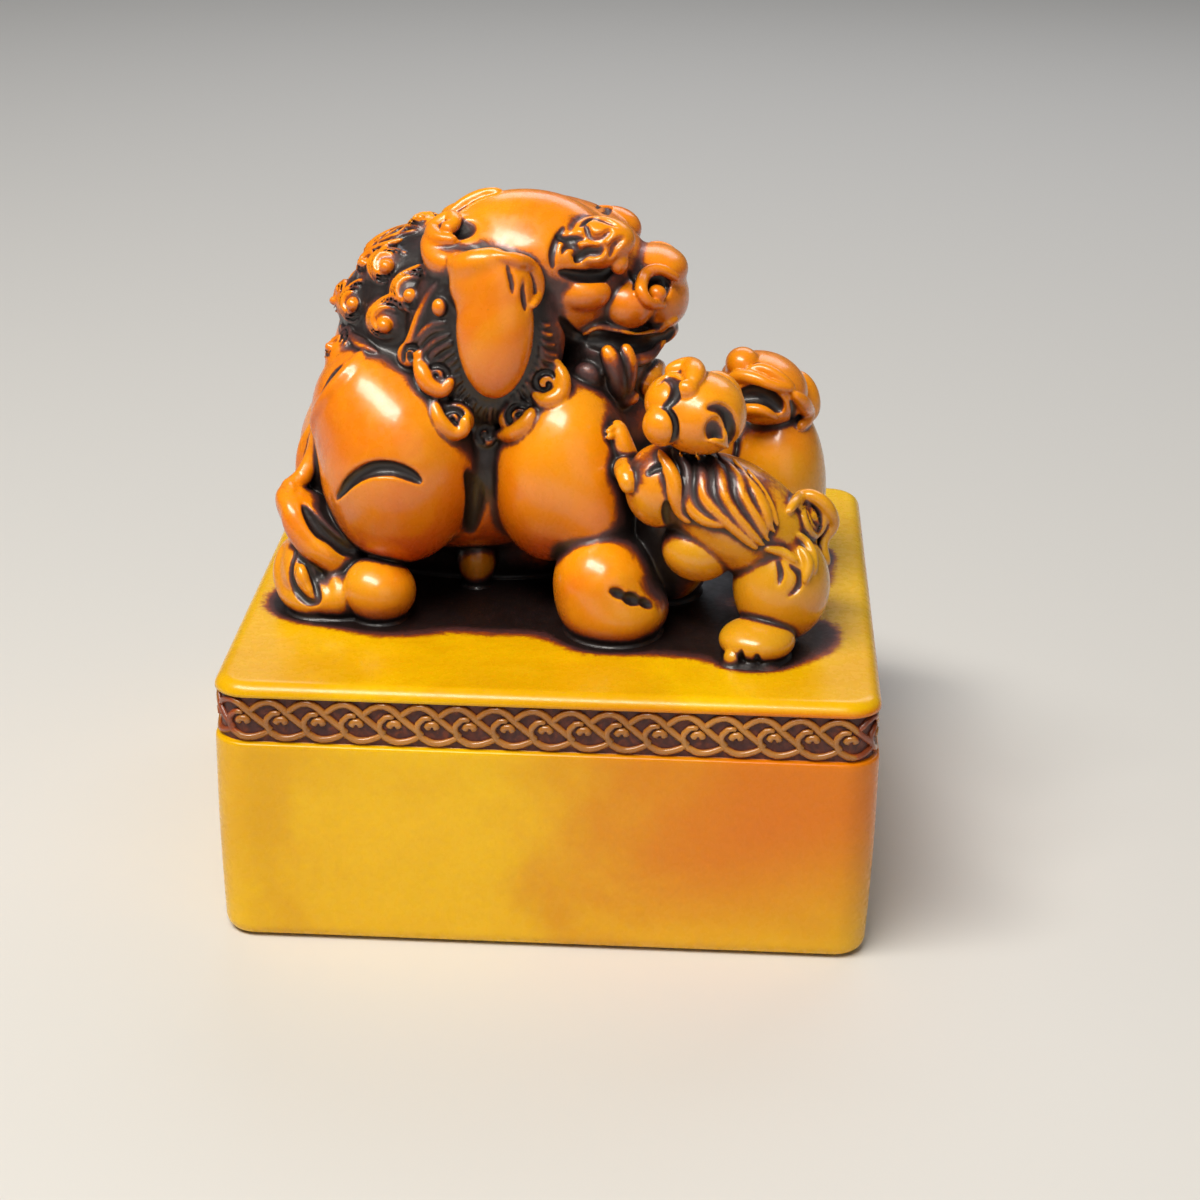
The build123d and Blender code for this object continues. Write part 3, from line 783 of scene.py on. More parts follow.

# Dark stain rubbed into the ground of the mane, the ruff and the mouth, and painted shade under the belly
# and
# between the forepaw and the front cub: pixel, radius in mm and depth of colour
stains_and_shade = [
    ((430, 275), 6.5, 0.24), ((395, 285), 6.5, 0.20), ((360, 300), 6.0, 0.20), ((400, 244), 5.5, 0.20),
    ((350, 482), 1.8, 0.22), ((380, 471), 2.0, 0.22), ((408, 476), 1.8, 0.22), ((385, 345), 4.0, 0.18),
    ((440, 330), 4.5, 0.30), ((455, 365), 4.5, 0.26), ((470, 408), 4.5, 0.26), ((505, 405), 4.0, 0.24),
    ((545, 350), 3.5, 0.28), ((540, 320), 2.5, 0.25), ((457, 226), 2.2, 0.25), ((600, 350), 4.5, 0.25),
    ((570, 345), 3.5, 0.20), ((650, 350), 4.0, 0.30), ((590, 385), 3.5, 0.16), ((600, 277), 2.6, 0.22),
    ((570, 282), 2.2, 0.20), ((616, 268), 2.0, 0.22), ((575, 222), 2.4, 0.18), ((466, 440), 3.0, 0.22),
    # Painted shade: the stains at (455, 560) and (500, 590) under the belly, and at (655, 540) and (660,
    # 590) between the forepaw and the front cub
    ((478, 480), 2.8, 0.24), ((455, 560), 6.0, 0.30), ((500, 590), 5.0, 0.30), ((318, 520), 2.4, 0.30),
    ((303, 578), 3.0, 0.20), ((335, 372), 2.4, 0.20), ((440, 307), 1.5, 0.22), ((617, 372), 3.4, 0.30),
    ((672, 402), 2.0, 0.36), ((684, 442), 1.6, 0.26), ((722, 434), 2.6, 0.42), ((730, 490), 5.5, 0.16),
    ((655, 540), 6.0, 0.35), ((660, 590), 6.0, 0.35), ((640, 470), 3.5, 0.26), ((760, 398), 2.6, 0.30),
    ((770, 480), 3.6, 0.20), ((745, 655), 2.6, 0.22), ((815, 525), 3.0, 0.22), ((765, 545), 2.6, 0.16),
    ((632, 597), 1.7, 0.34), ((612, 420), 3.0, 0.24), ((560, 560), 2.2, 0.18),
]
keep_ground()
stain_and_shade_points = np.vstack([seen(s[0]) for s in stains_and_shade])
# Forms that were stained all over, and rubbed clean only on their ridges
tones = {
    "lion_neck": 0.30, "mane_curls": 0.19, "near_ruff": 0.24, "far_ruff": 0.24, "near_ruff_curls": 0.04,
    "far_ruff_curls": 0.04, "lion_jaw": 0.55, "lion_lips": 0.22, "lion_chest": 0.18, "lion_beard": 0.52,
    "lion_trunk": 0.04, "lion_brows": 0.02, "tucked_paw": 0.04, "near_hind_leg": 0.04, "far_hind_leg": 0.04,
    "front_cub_mane": 0.31, "front_cub_body": 0.05, "front_cub_knee": 0.04, "front_cub_ears": 0.10,
    "front_cub_chest": 0.16, "front_cub_arm": 0.04, "front_cub_tail": 0.10, "front_cub_tuft": 0.03,
    "front_cub_paw": 0.05, "rear_cub_head": 0.05, "rear_cub_jaw": 0.08, "rear_cub_ears": 0.05,
}
tone = blurred(np.array([tones.get(n, 0.0) for n in names], np.float32)[label], 0.6)


# Stains behind this lie on both sides of the lion; those in front of it are the cubs' own
CUBS_FROM = 12
# How much fine, middling and wide hollows, stains with their painted shade, and ink darken, and what a clean
# bead takes off
FINE, MIDDLING, WIDE, STAINED_AND_SHADED, INKED, CLEANED = 1.5, 1.25, 1.1, 1.3, 0.34, 0.42


def stain_and_shade_at(points):
    """How much darker the stone is at points, from stains and from painted shade."""
    total = np.zeros(len(points))
    for centre, (_, radius, strength) in zip(stain_and_shade_points, stains_and_shade):
        near = np.linalg.norm(points - centre, axis=1)
        if centre[0] < CUBS_FROM:
            near = np.minimum(near, np.linalg.norm(points - mirrored(centre), axis=1))
        total = np.maximum(total, strength * np.clip(1.25 - near / radius, 0, 1) ** 0.7)
    for centre, size in clean_beads:
        total -= CLEANED * np.clip(1.6 - np.linalg.norm(points - centre, axis=1) / size, 0, 0.5)
    return total


def patina_and_shade_at(points):
    """Depth of the dark patina at points, with the stains' painted shade: 0 on open surfaces, 1 in the
    hollows.
    """
    fine, middle, wide = [read(volume, points) - 0.5 for volume in (hollow_fine, hollow_middle, hollow_wide)]
    hollow = FINE * fine + MIDDLING * middle + WIDE * wide
    return hollow + STAINED_AND_SHADED * stain_and_shade_at(points) + read(tone, points) + INKED * read(ink, points)


# Meshes
def new_piece(name, points, faces, nodes, material):
    """A mesh of quads, given in mm, tied to its CAD nodes."""
    faces = np.asarray(faces, np.int32)
    mesh = bpy.data.meshes.new(name)
    mesh.vertices.add(len(points))
    mesh.vertices.foreach_set("co", (np.asarray(points, float) * MM).astype(np.float32).ravel())
    mesh.loops.add(faces.size)
    mesh.loops.foreach_set("vertex_index", faces.ravel())
    mesh.polygons.add(len(faces))
    mesh.polygons.foreach_set("loop_start", np.arange(0, faces.size, faces.shape[1], dtype=np.int32))
    mesh.polygons.foreach_set("use_smooth", np.ones(len(faces), bool))
    mesh.update(calc_edges=True)
    mesh.validate()
    piece = bpy.data.objects.new(name, mesh)
    bpy.context.scene.collection.objects.link(piece)
    mesh.materials.append(material)
    tie(piece, nodes)
    return piece


def tie(piece, nodes):
    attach(piece, "root")
    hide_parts(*nodes)


def set_attribute(mesh, name, values):
    found = mesh.attributes.new(name, "FLOAT", "POINT")
    found.data.foreach_set("value", np.asarray(values, np.float32))


def carved_surface():
    """Vertices of the carving's skin and of the walls between its forms, the quads of each form, the
    number of the form that each quad belongs to, and which of them are skin."""
    stone = np.where(field < 0, label, 0).astype(np.int8)
    base = stone[:-1, :-1, :-1]
    differ = np.zeros(base.shape, bool)
    for corner in CORNERS:
        differ |= stone[tuple(slice(c, c + size) for c, size in zip(corner, base.shape))] != base
    cells = np.argwhere(differ)
    index = np.full(base.shape, -1, np.int32)
    index[differ] = np.arange(len(cells), dtype=np.int32)
    skin = np.zeros((len(cells), 3))
    skin_count = np.zeros(len(cells))
    wall = np.zeros((len(cells), 3))
    wall_count = np.zeros(len(cells))
    for axis in range(3):
        unit = np.eye(3, dtype=int)[axis]
        for a in (0, 1):
            for b in (0, 1):
                offset = np.insert(np.array([a, b]), axis, 0)
                first = tuple((cells + offset).T)
                second = tuple((cells + offset + unit).T)
                f0, f1 = field[first], field[second]
                l0, l1 = stone[first], stone[second]
                crossing = (l0 == 0) != (l1 == 0)
                share = np.where(crossing, f0 / np.where(crossing, f0 - f1, 1.0), 0.0)
                skin += crossing[:, None] * (offset + share[:, None] * unit)
                skin_count += crossing
                between = (l0 != l1) & ~crossing
                wall += between[:, None] * (offset + 0.5 * unit)
                wall_count += between
    wall /= np.maximum(wall_count, 1)[:, None]
    skin /= np.maximum(skin_count, 1)[:, None]
    place = np.where((skin_count == 0)[:, None], wall, skin)
    points = LOW + (cells + place) * STEP
    quads, owners, outer = [], [], []
    for axis in range(3):
        low_label, high_label = stone[along_axis(axis, None, -1)], stone[along_axis(axis, 1, None)]
        edges = np.argwhere(low_label != high_label)
        a = low_label[tuple(edges.T)]
        b = high_label[tuple(edges.T)]
        e2 = np.eye(3, dtype=int)[(axis + 1) % 3]
        e3 = np.eye(3, dtype=int)[(axis + 2) % 3]
        corners = [edges - e2 - e3, edges - e3, edges, edges - e2]
        quad = np.stack([index[tuple(c.T)] for c in corners], 1)
        for owner, turned_quad in ((a, quad), (b, quad[:, ::-1])):
            mine = owner > 0
            quads.append(turned_quad[mine])
            owners.append(owner[mine])
            outer.append(((a == 0) | (b == 0))[mine])
    return points, np.vstack(quads), np.concatenate(owners), np.concatenate(outer)


# Materials
def linear(code):
    """An sRGB hex colour as linear values."""
    parts = [int(code[i : i + 2], 16) / 255 for i in (1, 3, 5)]
    return tuple(c / 12.92 if c <= 0.04045 else ((c + 0.055) / 1.055) ** 2.4 for c in parts) + (1.0,)


def add(tree, kind, settings=None, inputs=None):
    """A node with its settings and inputs. An input is a value, a hex colour, a node whose first
    output it takes, or a node and one of its outputs."""
    node = tree.nodes.new(kind)
    for key, value in (settings or {}).items():
        setattr(node, key, value)
    for key, value in (inputs or {}).items():
        value = (value, 0) if isinstance(value, bpy.types.Node) else value
        if isinstance(value, tuple) and isinstance(value[0], bpy.types.Node):
            tree.links.new(value[0].outputs[value[1]], node.inputs[key])
        else:
            node.inputs[key].default_value = linear(value) if isinstance(value, str) else value
    return node


MATH, VECTORS, RANGE, MIX = "ShaderNodeMath", "ShaderNodeVectorMath", "ShaderNodeMapRange", "ShaderNodeMix"
SMOOTH = {"interpolation_type": "SMOOTHSTEP"}
# The stone's patterns: size in mm, detail, roughness and warp
PATTERNS = {
    "cloud": (22.2, 4.0, 0.6, 0.6), "veins": (5.26, 5.0, 0.62, 1.2), "specks": (0.435, 2.0, 0.55, 0.0),
    "ragged": (1.61, 5.0, 0.7, 1.5), "worn": (1.11, 4.0, 0.6, 0.0), "hairs": (0.667, 4.0, 0.7, 2.5),
}
# Depth in mm of the hair lines combed into the dark ground, and how raggedly the patina ends
HAIR_DEPTH, FEATHER = 0.22, 0.34
# How far in mm the clouds shift the edges of the ochre foot and of the block's stain
OCHRE_DRIFT, STAIN_DRIFT = 20, 18


def stone(
    name, base, deep, pale, ochre, ochre_under, ochre_over,
    patina_low=0.11, patina_high=0.34, side_stain=False, specked=0.35, coat=0.35,
):
    """Polished yellow stone, carved and waxed: it glows a little inside, shines on its high forms
    and keeps a dull dark patina in its hollows, with fine hair lines combed into the dark ground.
    It turns ochre towards the foot, between two heights in mm, and its undersides are painted a darker
    orange as shade."""
    material = bpy.data.materials.new(name)
    material.use_nodes = True
    tree = material.node_tree
    tree.nodes.clear()
    where = (add(tree, "ShaderNodeTexCoord"), "Object")
    parts = add(tree, "ShaderNodeSeparateXYZ", None, {"Vector": where})
    pattern = {}
    for key, (size, detail, rough, warp) in PATTERNS.items():
        form = {"Scale": 1 / (size * MM), "Detail": detail, "Roughness": rough, "Distortion": warp}
        pattern[key] = add(tree, "ShaderNodeTexNoise", None, {"Vector": where, **form})
    cloud = pattern["cloud"]

    # Layers of colour over the base, each with its share: clouds, the ochre foot, pale veins
    clouded = add(tree, RANGE, SMOOTH, {"Value": cloud, "From Min": 0.35, "From Max": 0.68})
    low = add(tree, MATH, {"operation": "MULTIPLY_ADD"}, {0: cloud, 1: OCHRE_DRIFT * MM, 2: (parts, "Z")})
    heights = {"From Min": ochre_under * MM, "From Max": ochre_over * MM, "To Min": 1.0, "To Max": 0.0}
    ochred = add(tree, RANGE, SMOOTH, {"Value": low, **heights})
    thin = {"From Min": 0.60, "From Max": 0.82, "To Max": 0.25}
    veined = add(tree, RANGE, SMOOTH, {"Value": pattern["veins"], **thin})
    layers = [(clouded, deep), (ochred, ochre), (veined, pale)]
    if side_stain:
        # An orange cloud in the block's right half, under its top, and less of it at the foot
        shift = {0: cloud, 1: STAIN_DRIFT * MM, 2: (parts, "X")}
        drift = add(tree, MATH, {"operation": "MULTIPLY_ADD"}, shift)
        slant = add(tree, MATH, {"operation": "MULTIPLY_ADD"}, {0: (parts, "X"), 1: -0.25, 2: (parts, "Z")})
        share = 1.0
        for source, start, end in ((drift, -2, 36), ((parts, "Z"), 33.5, 32.5), (slant, -12, 12)):
            near = add(tree, RANGE, SMOOTH, {"Value": source, "From Min": start * MM, "From Max": end * MM})
            share = add(tree, MATH, {"operation": "MULTIPLY"}, {0: share, 1: near})
        layers.append((share, "#E07A00"))
    # Painted shade on the undersides, specks, and the patina with the painted shadow it carries, as a brown
    # haze, then a dark film, then nearly black
    painted_underside_shade = add(tree, "ShaderNodeAttribute", {"attribute_name": "painted_underside_shade"})
    underside_shade_share = add(tree, MATH, {"operation": "MULTIPLY"}, {0: (painted_underside_shade, "Fac"), 1: 0.9})
    spots = {"From Min": 0.72, "From Max": 0.80, "To Max": specked}
    speckled = add(tree, RANGE, SMOOTH, {"Value": pattern["specks"], **spots})
    rubbed_and_shaded = add(tree, "ShaderNodeAttribute", {"attribute_name": "patina_and_shade"})
    uneven = add(tree, MATH, {"operation": "SUBTRACT"}, {0: pattern["ragged"], 1: 0.5})
    depth = add(tree, MATH, {"operation": "MULTIPLY_ADD"}, {0: uneven, 1: FEATHER, 2: (rubbed_and_shaded, "Fac")})
    starts = (patina_low - 0.05, patina_low + 0.03, patina_high)
    ends = (patina_low + 0.10, patina_high, patina_high + 0.28)
    haze, full, black = [
        add(tree, RANGE, SMOOTH, {"Value": depth, "From Min": start, "From Max": end})
        for start, end in zip(starts, ends)
    ]
    layers += [
        (underside_shade_share, "#A83A02"), (speckled, "#7A3A08"), (haze, "#A2480E"), (full, "#4C2A28"), (black, "#1A0E0C"),
    ]
    colour = base
    for share, tint in layers:
        colour = (add(tree, MIX, {"data_type": "RGBA"}, {0: share, 6: colour, 7: tint}), 2)

    # The patina is duller than the waxed stone, and the hair lines show in it alone
    gloss = {"From Min": 0.3, "From Max": 0.75, "To Min": 0.22, "To Max": 0.36}
    polish = add(tree, RANGE, SMOOTH, {"Value": pattern["worn"], **gloss})
    dull = add(tree, MATH, {"operation": "MULTIPLY_ADD"}, {0: full, 1: 0.2, 2: polish})
    combed = add(tree, RANGE, SMOOTH, {"Value": full, "To Min": 0.02})
    grain = add(tree, MATH, {"operation": "MULTIPLY"}, {0: pattern["hairs"], 1: combed})
    relief = {"Height": grain, "Strength": 0.35, "Distance": HAIR_DEPTH * MM}
    bump = add(tree, "ShaderNodeBump", None, relief)
    shader = add(tree, "ShaderNodeBsdfPrincipled", {"subsurface_method": "RANDOM_WALK"}, {
        "Base Color": colour, "Roughness": dull, "Normal": bump, "IOR": 1.56,
        "Specular IOR Level": 0.2 + 0.8 * coat, "Coat Weight": coat, "Coat Roughness": 0.1, "Coat IOR": 1.5,
        "Subsurface Weight": 0.10, "Subsurface Scale": 0.0016, "Subsurface Radius": (1.0, 0.6, 0.15),
    })
    add(tree, "ShaderNodeOutputMaterial", None, {"Surface": shader})
    return material


lion_stone = stone("stone_carved_polished_orange", "#FFA208", "#F48200", "#FFBC40", "#EBA012", 46, 56)
cub_stone = stone("stone_carved_polished_ochre", "#FFA60C", "#F48E06", "#FCC04A", "#DFA016", 56, 70)
block_stone = stone(
    "stone_block_polished_yellow", "#F4C000", "#E6AC00", "#FCD230", "#FAC800", 0, 10,
    side_stain=True, specked=0.12, coat=0.12,
)
band_stone = stone(
    "stone_band_patinated", "#C08034", "#A06424", "#D89C54", "#B87840", 0, 10,
    patina_low=0.12, patina_high=0.5,
)


# The carving as pieces
points, quads, owners, outer = carved_surface()
normals = slope(points, 0.3, field)
patina_and_shade = patina_and_shade_at(points)
# Painted shade: surfaces that face down are made a deeper, darker orange; on the cubs less so
painted_underside_shade = np.clip(0.42 - 0.8 * normals[:, 2], 0, 1)
CUB_UNDERSIDE_SHADE = 0.55
for number, name in enumerate(names):
    mine = owners == number
    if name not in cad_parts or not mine.any():
        continue
    used, faces = np.unique(quads[mine], return_inverse=True)
    faces = faces.reshape(-1, 4)
    cub = "cub" in name
    slot, material = ("cub_stone", cub_stone) if cub else ("lion_stone", lion_stone)
    piece = new_piece("carved_" + name, points[used], faces, [name], material)
    set_attribute(piece.data, "patina_and_shade", patina_and_shade[used])
    set_attribute(piece.data, "painted_underside_shade", painted_underside_shade[used] * (CUB_UNDERSIDE_SHADE if cub else 1.0))
    # The skin is shaded by the field's slope, and the walls between forms are flat
    corner_normals = normals[used][faces.ravel()]
    corners = points[used][faces]
    flat = np.cross(corners[:, 2] - corners[:, 0], corners[:, 3] - corners[:, 1])
    flat /= np.linalg.norm(flat, axis=1, keepdims=True) + 1e-12
    walls = np.repeat(~outer[mine], 4)
    corner_normals[walls] = np.repeat(flat, 4, 0)[walls]
    if len(piece.data.loops) == len(corner_normals):
        piece.data.normals_split_custom_set(corner_normals)


# Block
# Half its side, radii of its corners and edges, heights of its face and rim, and its sides' draw
HALF, CORNER, TOP_EDGE, FOOT_EDGE, FOOT, RIM, DRAW = 40.0, 4.5, 1.8, 1.7, 1.2, 0.3, 0.5
BAND_FOOT, BAND_TOP, BAND_DEPTH = 26.4, 32.3, 0.8
QUARTER = math.pi / 2


def outline(inset):
    """Points of the block's plan, counter-clockwise, drawn in by inset: 12 to a corner, 72 to a side."""
    half, radius = HALF - inset, max(CORNER - inset, 0.3)
    line = []
    steps = np.linspace(0, QUARTER, 12, endpoint=False)
    for quarter in range(4):
        sine, cosine = math.sin(quarter * QUARTER), math.cos(quarter * QUARTER)
        turn = np.array([[cosine, -sine], [sine, cosine]])
        middle = half - radius
        side = [(x, -half) for x in np.linspace(-middle, middle, 72, endpoint=False)]
        bend = [(middle + radius * math.sin(t), -middle - radius * math.cos(t)) for t in steps]
        line += [turn @ np.array(p) for p in side + bend]
    return np.array(line)


# The block's section as how far it is drawn in at each height: the printing face, its rim and the
# foot's edge, the side, the band's lower lip, ground and upper lip, the top's edge and the top
wall_foot = RIM + FOOT_EDGE
wall = BAND_FOOT - 0.5 - RIM - FOOT_EDGE
profile = [(FOOT_EDGE + d, FOOT) for d in (37.0, 30, 20, 12, 8, 5, 3.2)]
profile += [(FOOT_EDGE + 2.2, FOOT - 0.1), (FOOT_EDGE + 1.7, RIM + 0.15), (FOOT_EDGE + 1.2, RIM)]
for t in np.linspace(0, QUARTER, 9):
    inset = FOOT_EDGE * (1 - math.sin(t)) + DRAW * math.sin(t)
    profile.append((inset, RIM + FOOT_EDGE * (1 - math.cos(t))))
for t in np.linspace(0.04, 1, 26):
    profile.append((DRAW * (1 - math.sin(QUARTER * t)) ** 1.5, wall_foot + wall * t))
profile += [(0.04, BAND_FOOT - 0.22), (0.16, BAND_FOOT - 0.06), (0.34, BAND_FOOT)]
profile += [(0.7, BAND_FOOT + 0.02), (0.8, BAND_FOOT + 0.14)]
profile += [(BAND_DEPTH, z) for z in np.linspace(BAND_FOOT + 0.4, BAND_TOP - 0.3, 13)]
profile += [(0.78, BAND_TOP - 0.08), (0.62, BAND_TOP), (0.28, BAND_TOP), (0.1, BAND_TOP + 0.06)]
for t in np.linspace(0, QUARTER, 12)[2:]:
    profile.append((TOP_EDGE * (1 - math.cos(t)) + 0.02, TOP - TOP_EDGE + TOP_EDGE * math.sin(t)))
ring_step = 0.45
profile += [(d, TOP) for d in np.arange(TOP_EDGE + 0.4, 38.5, ring_step)]
rings = [np.column_stack([outline(d), np.full(len(outline(d)), z)]) for d, z in profile]
round_count = len(rings[0])
block_points = np.vstack(rings)
at = np.arange(round_count)
block_faces = []
for row in range(len(rings) - 1):
    a, b = row * round_count, (row + 1) * round_count
    after = (at + 1) % round_count
    block_faces.append(np.stack([a + at, a + after, b + after, b + at], 1))
block_faces = np.vstack(block_faces)
last = (len(rings) - 1) * round_count
strips = round_count // 2 - 1
lids = []
for start, flip in ((0, True), (last, False)):
    i = np.arange(strips)
    lid = start + np.stack([i, i + 1, round_count - 2 - i, round_count - 1 - i], 1)
    lids.append(lid[:, ::-1] if flip else lid)
block_faces = np.vstack([block_faces] + lids)
block = new_piece("block", block_points, block_faces, ["seal_block"], block_stone)

# Patina smeared on the block's top round the feet and lying in the band's ground, and painted shadow on the
# top under the bodies
just_over = block_points * np.array([1, 1, 0]) + np.array([0, 0, TOP + 0.3])
on_top = np.clip((block_points[:, 2] - (TOP - 0.4)) / 0.4, 0, 1)
near_feet = 1.2 * (read(hollow_middle, just_over) - 0.5) + (read(hollow_wide, just_over) - 0.5)
# Painted shadow: the top is darkened where the carving stands over it
shade = (field < 0)[:, :, int((TOP + 1.0 - LOW[2]) / STEP) :].any(2).astype(np.float32)[:, :, None]
shade = blurred(blurred(shade, 2.4), 2.4)[:, :, 0]
cell = np.round((block_points[:, :2] - LOW[:2]) / STEP).astype(int)
within = ((cell >= 0) & (cell < SIZE[:2])).all(1)
cell = np.clip(cell, 0, SIZE[:2] - 1)
shadow_under_bodies = np.where(within, shade[cell[:, 0], cell[:, 1]], 0.0)
smear_and_shadow = on_top * (np.clip(near_feet, 0, 0.4) + np.clip(shadow_under_bodies - 0.07, 0, 1))
in_band = (block_points[:, 2] > BAND_FOOT + 0.05) & (block_points[:, 2] < BAND_TOP + 0.03)
in_band &= np.abs(block_points[:, :2]).max(1) < HALF - 0.3
BAND_PATINA = 0.30
set_attribute(block.data, "patina_and_shade", np.where(in_band, BAND_PATINA, smear_and_shadow))


# Wave scroll band
def rope_mesh(lines):
    """Closed round ropes along lines of (points, radii)."""
    sides = 7
    all_points, all_faces = [], []
    for line, radii in lines:
        line = np.asarray(line, float)
        radii = np.broadcast_to(radii, (len(line),))
        ahead = np.gradient(line, axis=0)
        ahead /= np.linalg.norm(ahead, axis=1, keepdims=True)
        out = np.array([0.0, 1.0, 0.0])
        across = np.cross(ahead, out)
        turn = (2 * math.pi * np.arange(sides) / sides)[None, :, None]
        ring = line[:, None] + radii[:, None, None] * (np.cos(turn) * across[:, None] + np.sin(turn) * out)
        first = sum(len(p) for p in all_points)
        body = ring.reshape(-1, 3)
        tips = np.array([line[0] - ahead[0] * radii[0] * 0.5, line[-1] + ahead[-1] * radii[-1] * 0.5])
        all_points.append(np.vstack([body, tips]))
        i = np.arange(sides)
        j = (i + 1) % sides
        for row in range(len(line) - 1):
            a, b = first + row * sides, first + (row + 1) * sides
            for p, q in zip(i, j):
                all_faces.append((a + p, b + p, b + q, a + q))
        start, end = first + len(body), first + len(body) + 1
        last_ring = first + (len(line) - 1) * sides
        for p, q in zip(i, j):
            all_faces.append((first + q, start, first + p))
            all_faces.append((last_ring + p, end, last_ring + q))
    return np.vstack(all_points), all_faces


def drawn(pairs, height, count):
    """A smooth line through (along, up) pairs, standing that far out from the ground."""
    line = curve([(x, height, z) for x, z in pairs])
    return line[np.linspace(0, len(line) - 1, count).round().astype(int)]


# Scrolls on a side, the band's own corner radius, and the pitch that sets them evenly round the block
SCROLLS = 17
BAND_CORNER = CORNER - BAND_DEPTH
PITCH_MM = (2 * math.pi * BAND_CORNER + 8 * (HALF - CORNER)) / (4 * SCROLLS)
# One scroll in mm, along the band and up: an arch, the ring that it crosses, and a hook in the ring
ARCH = [(-0.2, 3.8), (1.1, 4.95), (2.47, 5.3), (3.6, 4.75), (4.41, 3.95), (5.7, 2.8), (7.06, 1.7)]
RING = [(3.6, 3.85), (2.7, 3.8), (1.9, 2.75), (2.4, 1.45), (3.6, 0.75), (4.8, 0.72), (6.0, 1.1), (7.06, 1.7)]
HOOK = [(4.3, 2.6), (4.0, 3.1), (3.4, 3.05), (3.1, 2.6)]
motif_points, motif_faces = rope_mesh([
    (drawn(ARCH, 0.12, 13), 0.38 + 0.08 * np.sin(np.linspace(0, math.pi, 13))),
    (drawn(RING, 0.12, 14), 0.34 + 0.10 * np.sin(np.linspace(0, math.pi, 14))),
    (drawn(HOOK, 0.1, 6), 0.46),
])


def band_tree():
    """Geometry nodes: scrolls set out on a line, then bent round the block's rounded square."""
    tree = bpy.data.node_groups.new("scrolls_round_block", "GeometryNodeTree")
    face = tree.interface
    face.new_socket("Geometry", in_out="INPUT", socket_type="NodeSocketGeometry")
    face.new_socket("Count", in_out="INPUT", socket_type="NodeSocketInt")
    for name in ("Pitch", "First", "Side", "Corner", "Foot"):
        face.new_socket(name, in_out="INPUT", socket_type="NodeSocketFloat")
    face.new_socket("Material", in_out="INPUT", socket_type="NodeSocketMaterial")
    face.new_socket("Geometry", in_out="OUTPUT", socket_type="NodeSocketGeometry")
    given = add(tree, "NodeGroupInput")
    step = add(tree, "ShaderNodeCombineXYZ", None, {"X": (given, "Pitch")})
    first = add(tree, "ShaderNodeCombineXYZ", None, {"X": (given, "First")})
    spots = {"Count": (given, "Count"), "Start Location": first, "Offset": step}
    line = add(tree, "GeometryNodeMeshLine", {"mode": "OFFSET"}, spots)
    scrolls = {"Points": line, "Instance": (given, "Geometry")}
    placed = add(tree, "GeometryNodeInstanceOnPoints", None, scrolls)
    real = add(tree, "GeometryNodeRealizeInstances", None, {"Geometry": placed})
    sides = {"Width": (given, "Side"), "Height": (given, "Side")}
    square = add(tree, "GeometryNodeCurvePrimitiveQuadrilateral", None, sides)
    corners = {"Curve": square, "Radius": (given, "Corner"), "Count": 24}
    rounded = add(tree, "GeometryNodeFilletCurve", {"mode": "POLY"}, corners)
    # A scroll's place along the line becomes its place round the block, and its thickness stands outwards
    length = add(tree, "GeometryNodeCurveLength", None, {"Curve": rounded})
    place = add(tree, "GeometryNodeInputPosition")
    parts = add(tree, "ShaderNodeSeparateXYZ", None, {"Vector": place})
    rounds = add(tree, MATH, {"operation": "DIVIDE"}, {0: (parts, "X"), 1: length})
    share = add(tree, MATH, {"operation": "FRACT"}, {0: rounds})
    sample = add(tree, "GeometryNodeSampleCurve", {"mode": "FACTOR"}, {"Curves": rounded, "Factor": share})
    up = add(tree, "ShaderNodeCombineXYZ", None, {"Z": 1.0})
    out = add(tree, VECTORS, {"operation": "CROSS_PRODUCT"}, {0: (sample, "Tangent"), 1: up})
    stand = add(tree, VECTORS, {"operation": "SCALE"}, {0: out, "Scale": (parts, "Y")})
    raised = add(tree, MATH, {"operation": "ADD"}, {0: (parts, "Z"), 1: (given, "Foot")})
    height = add(tree, "ShaderNodeCombineXYZ", None, {"Z": raised})
    moved = add(tree, VECTORS, {"operation": "ADD"}, {0: (sample, "Position"), 1: stand})
    whole = add(tree, VECTORS, {"operation": "ADD"}, {0: moved, 1: height})
    bent = add(tree, "GeometryNodeSetPosition", None, {"Geometry": real, "Position": whole})
    stone_of = {"Geometry": bent, "Material": (given, "Material")}
    coloured = add(tree, "GeometryNodeSetMaterial", None, stone_of)
    add(tree, "NodeGroupOutput", None, {0: coloured})
    return tree


tree = band_tree()
ids = {s.name: s.identifier for s in tree.interface.items_tree if s.in_out == "INPUT"}
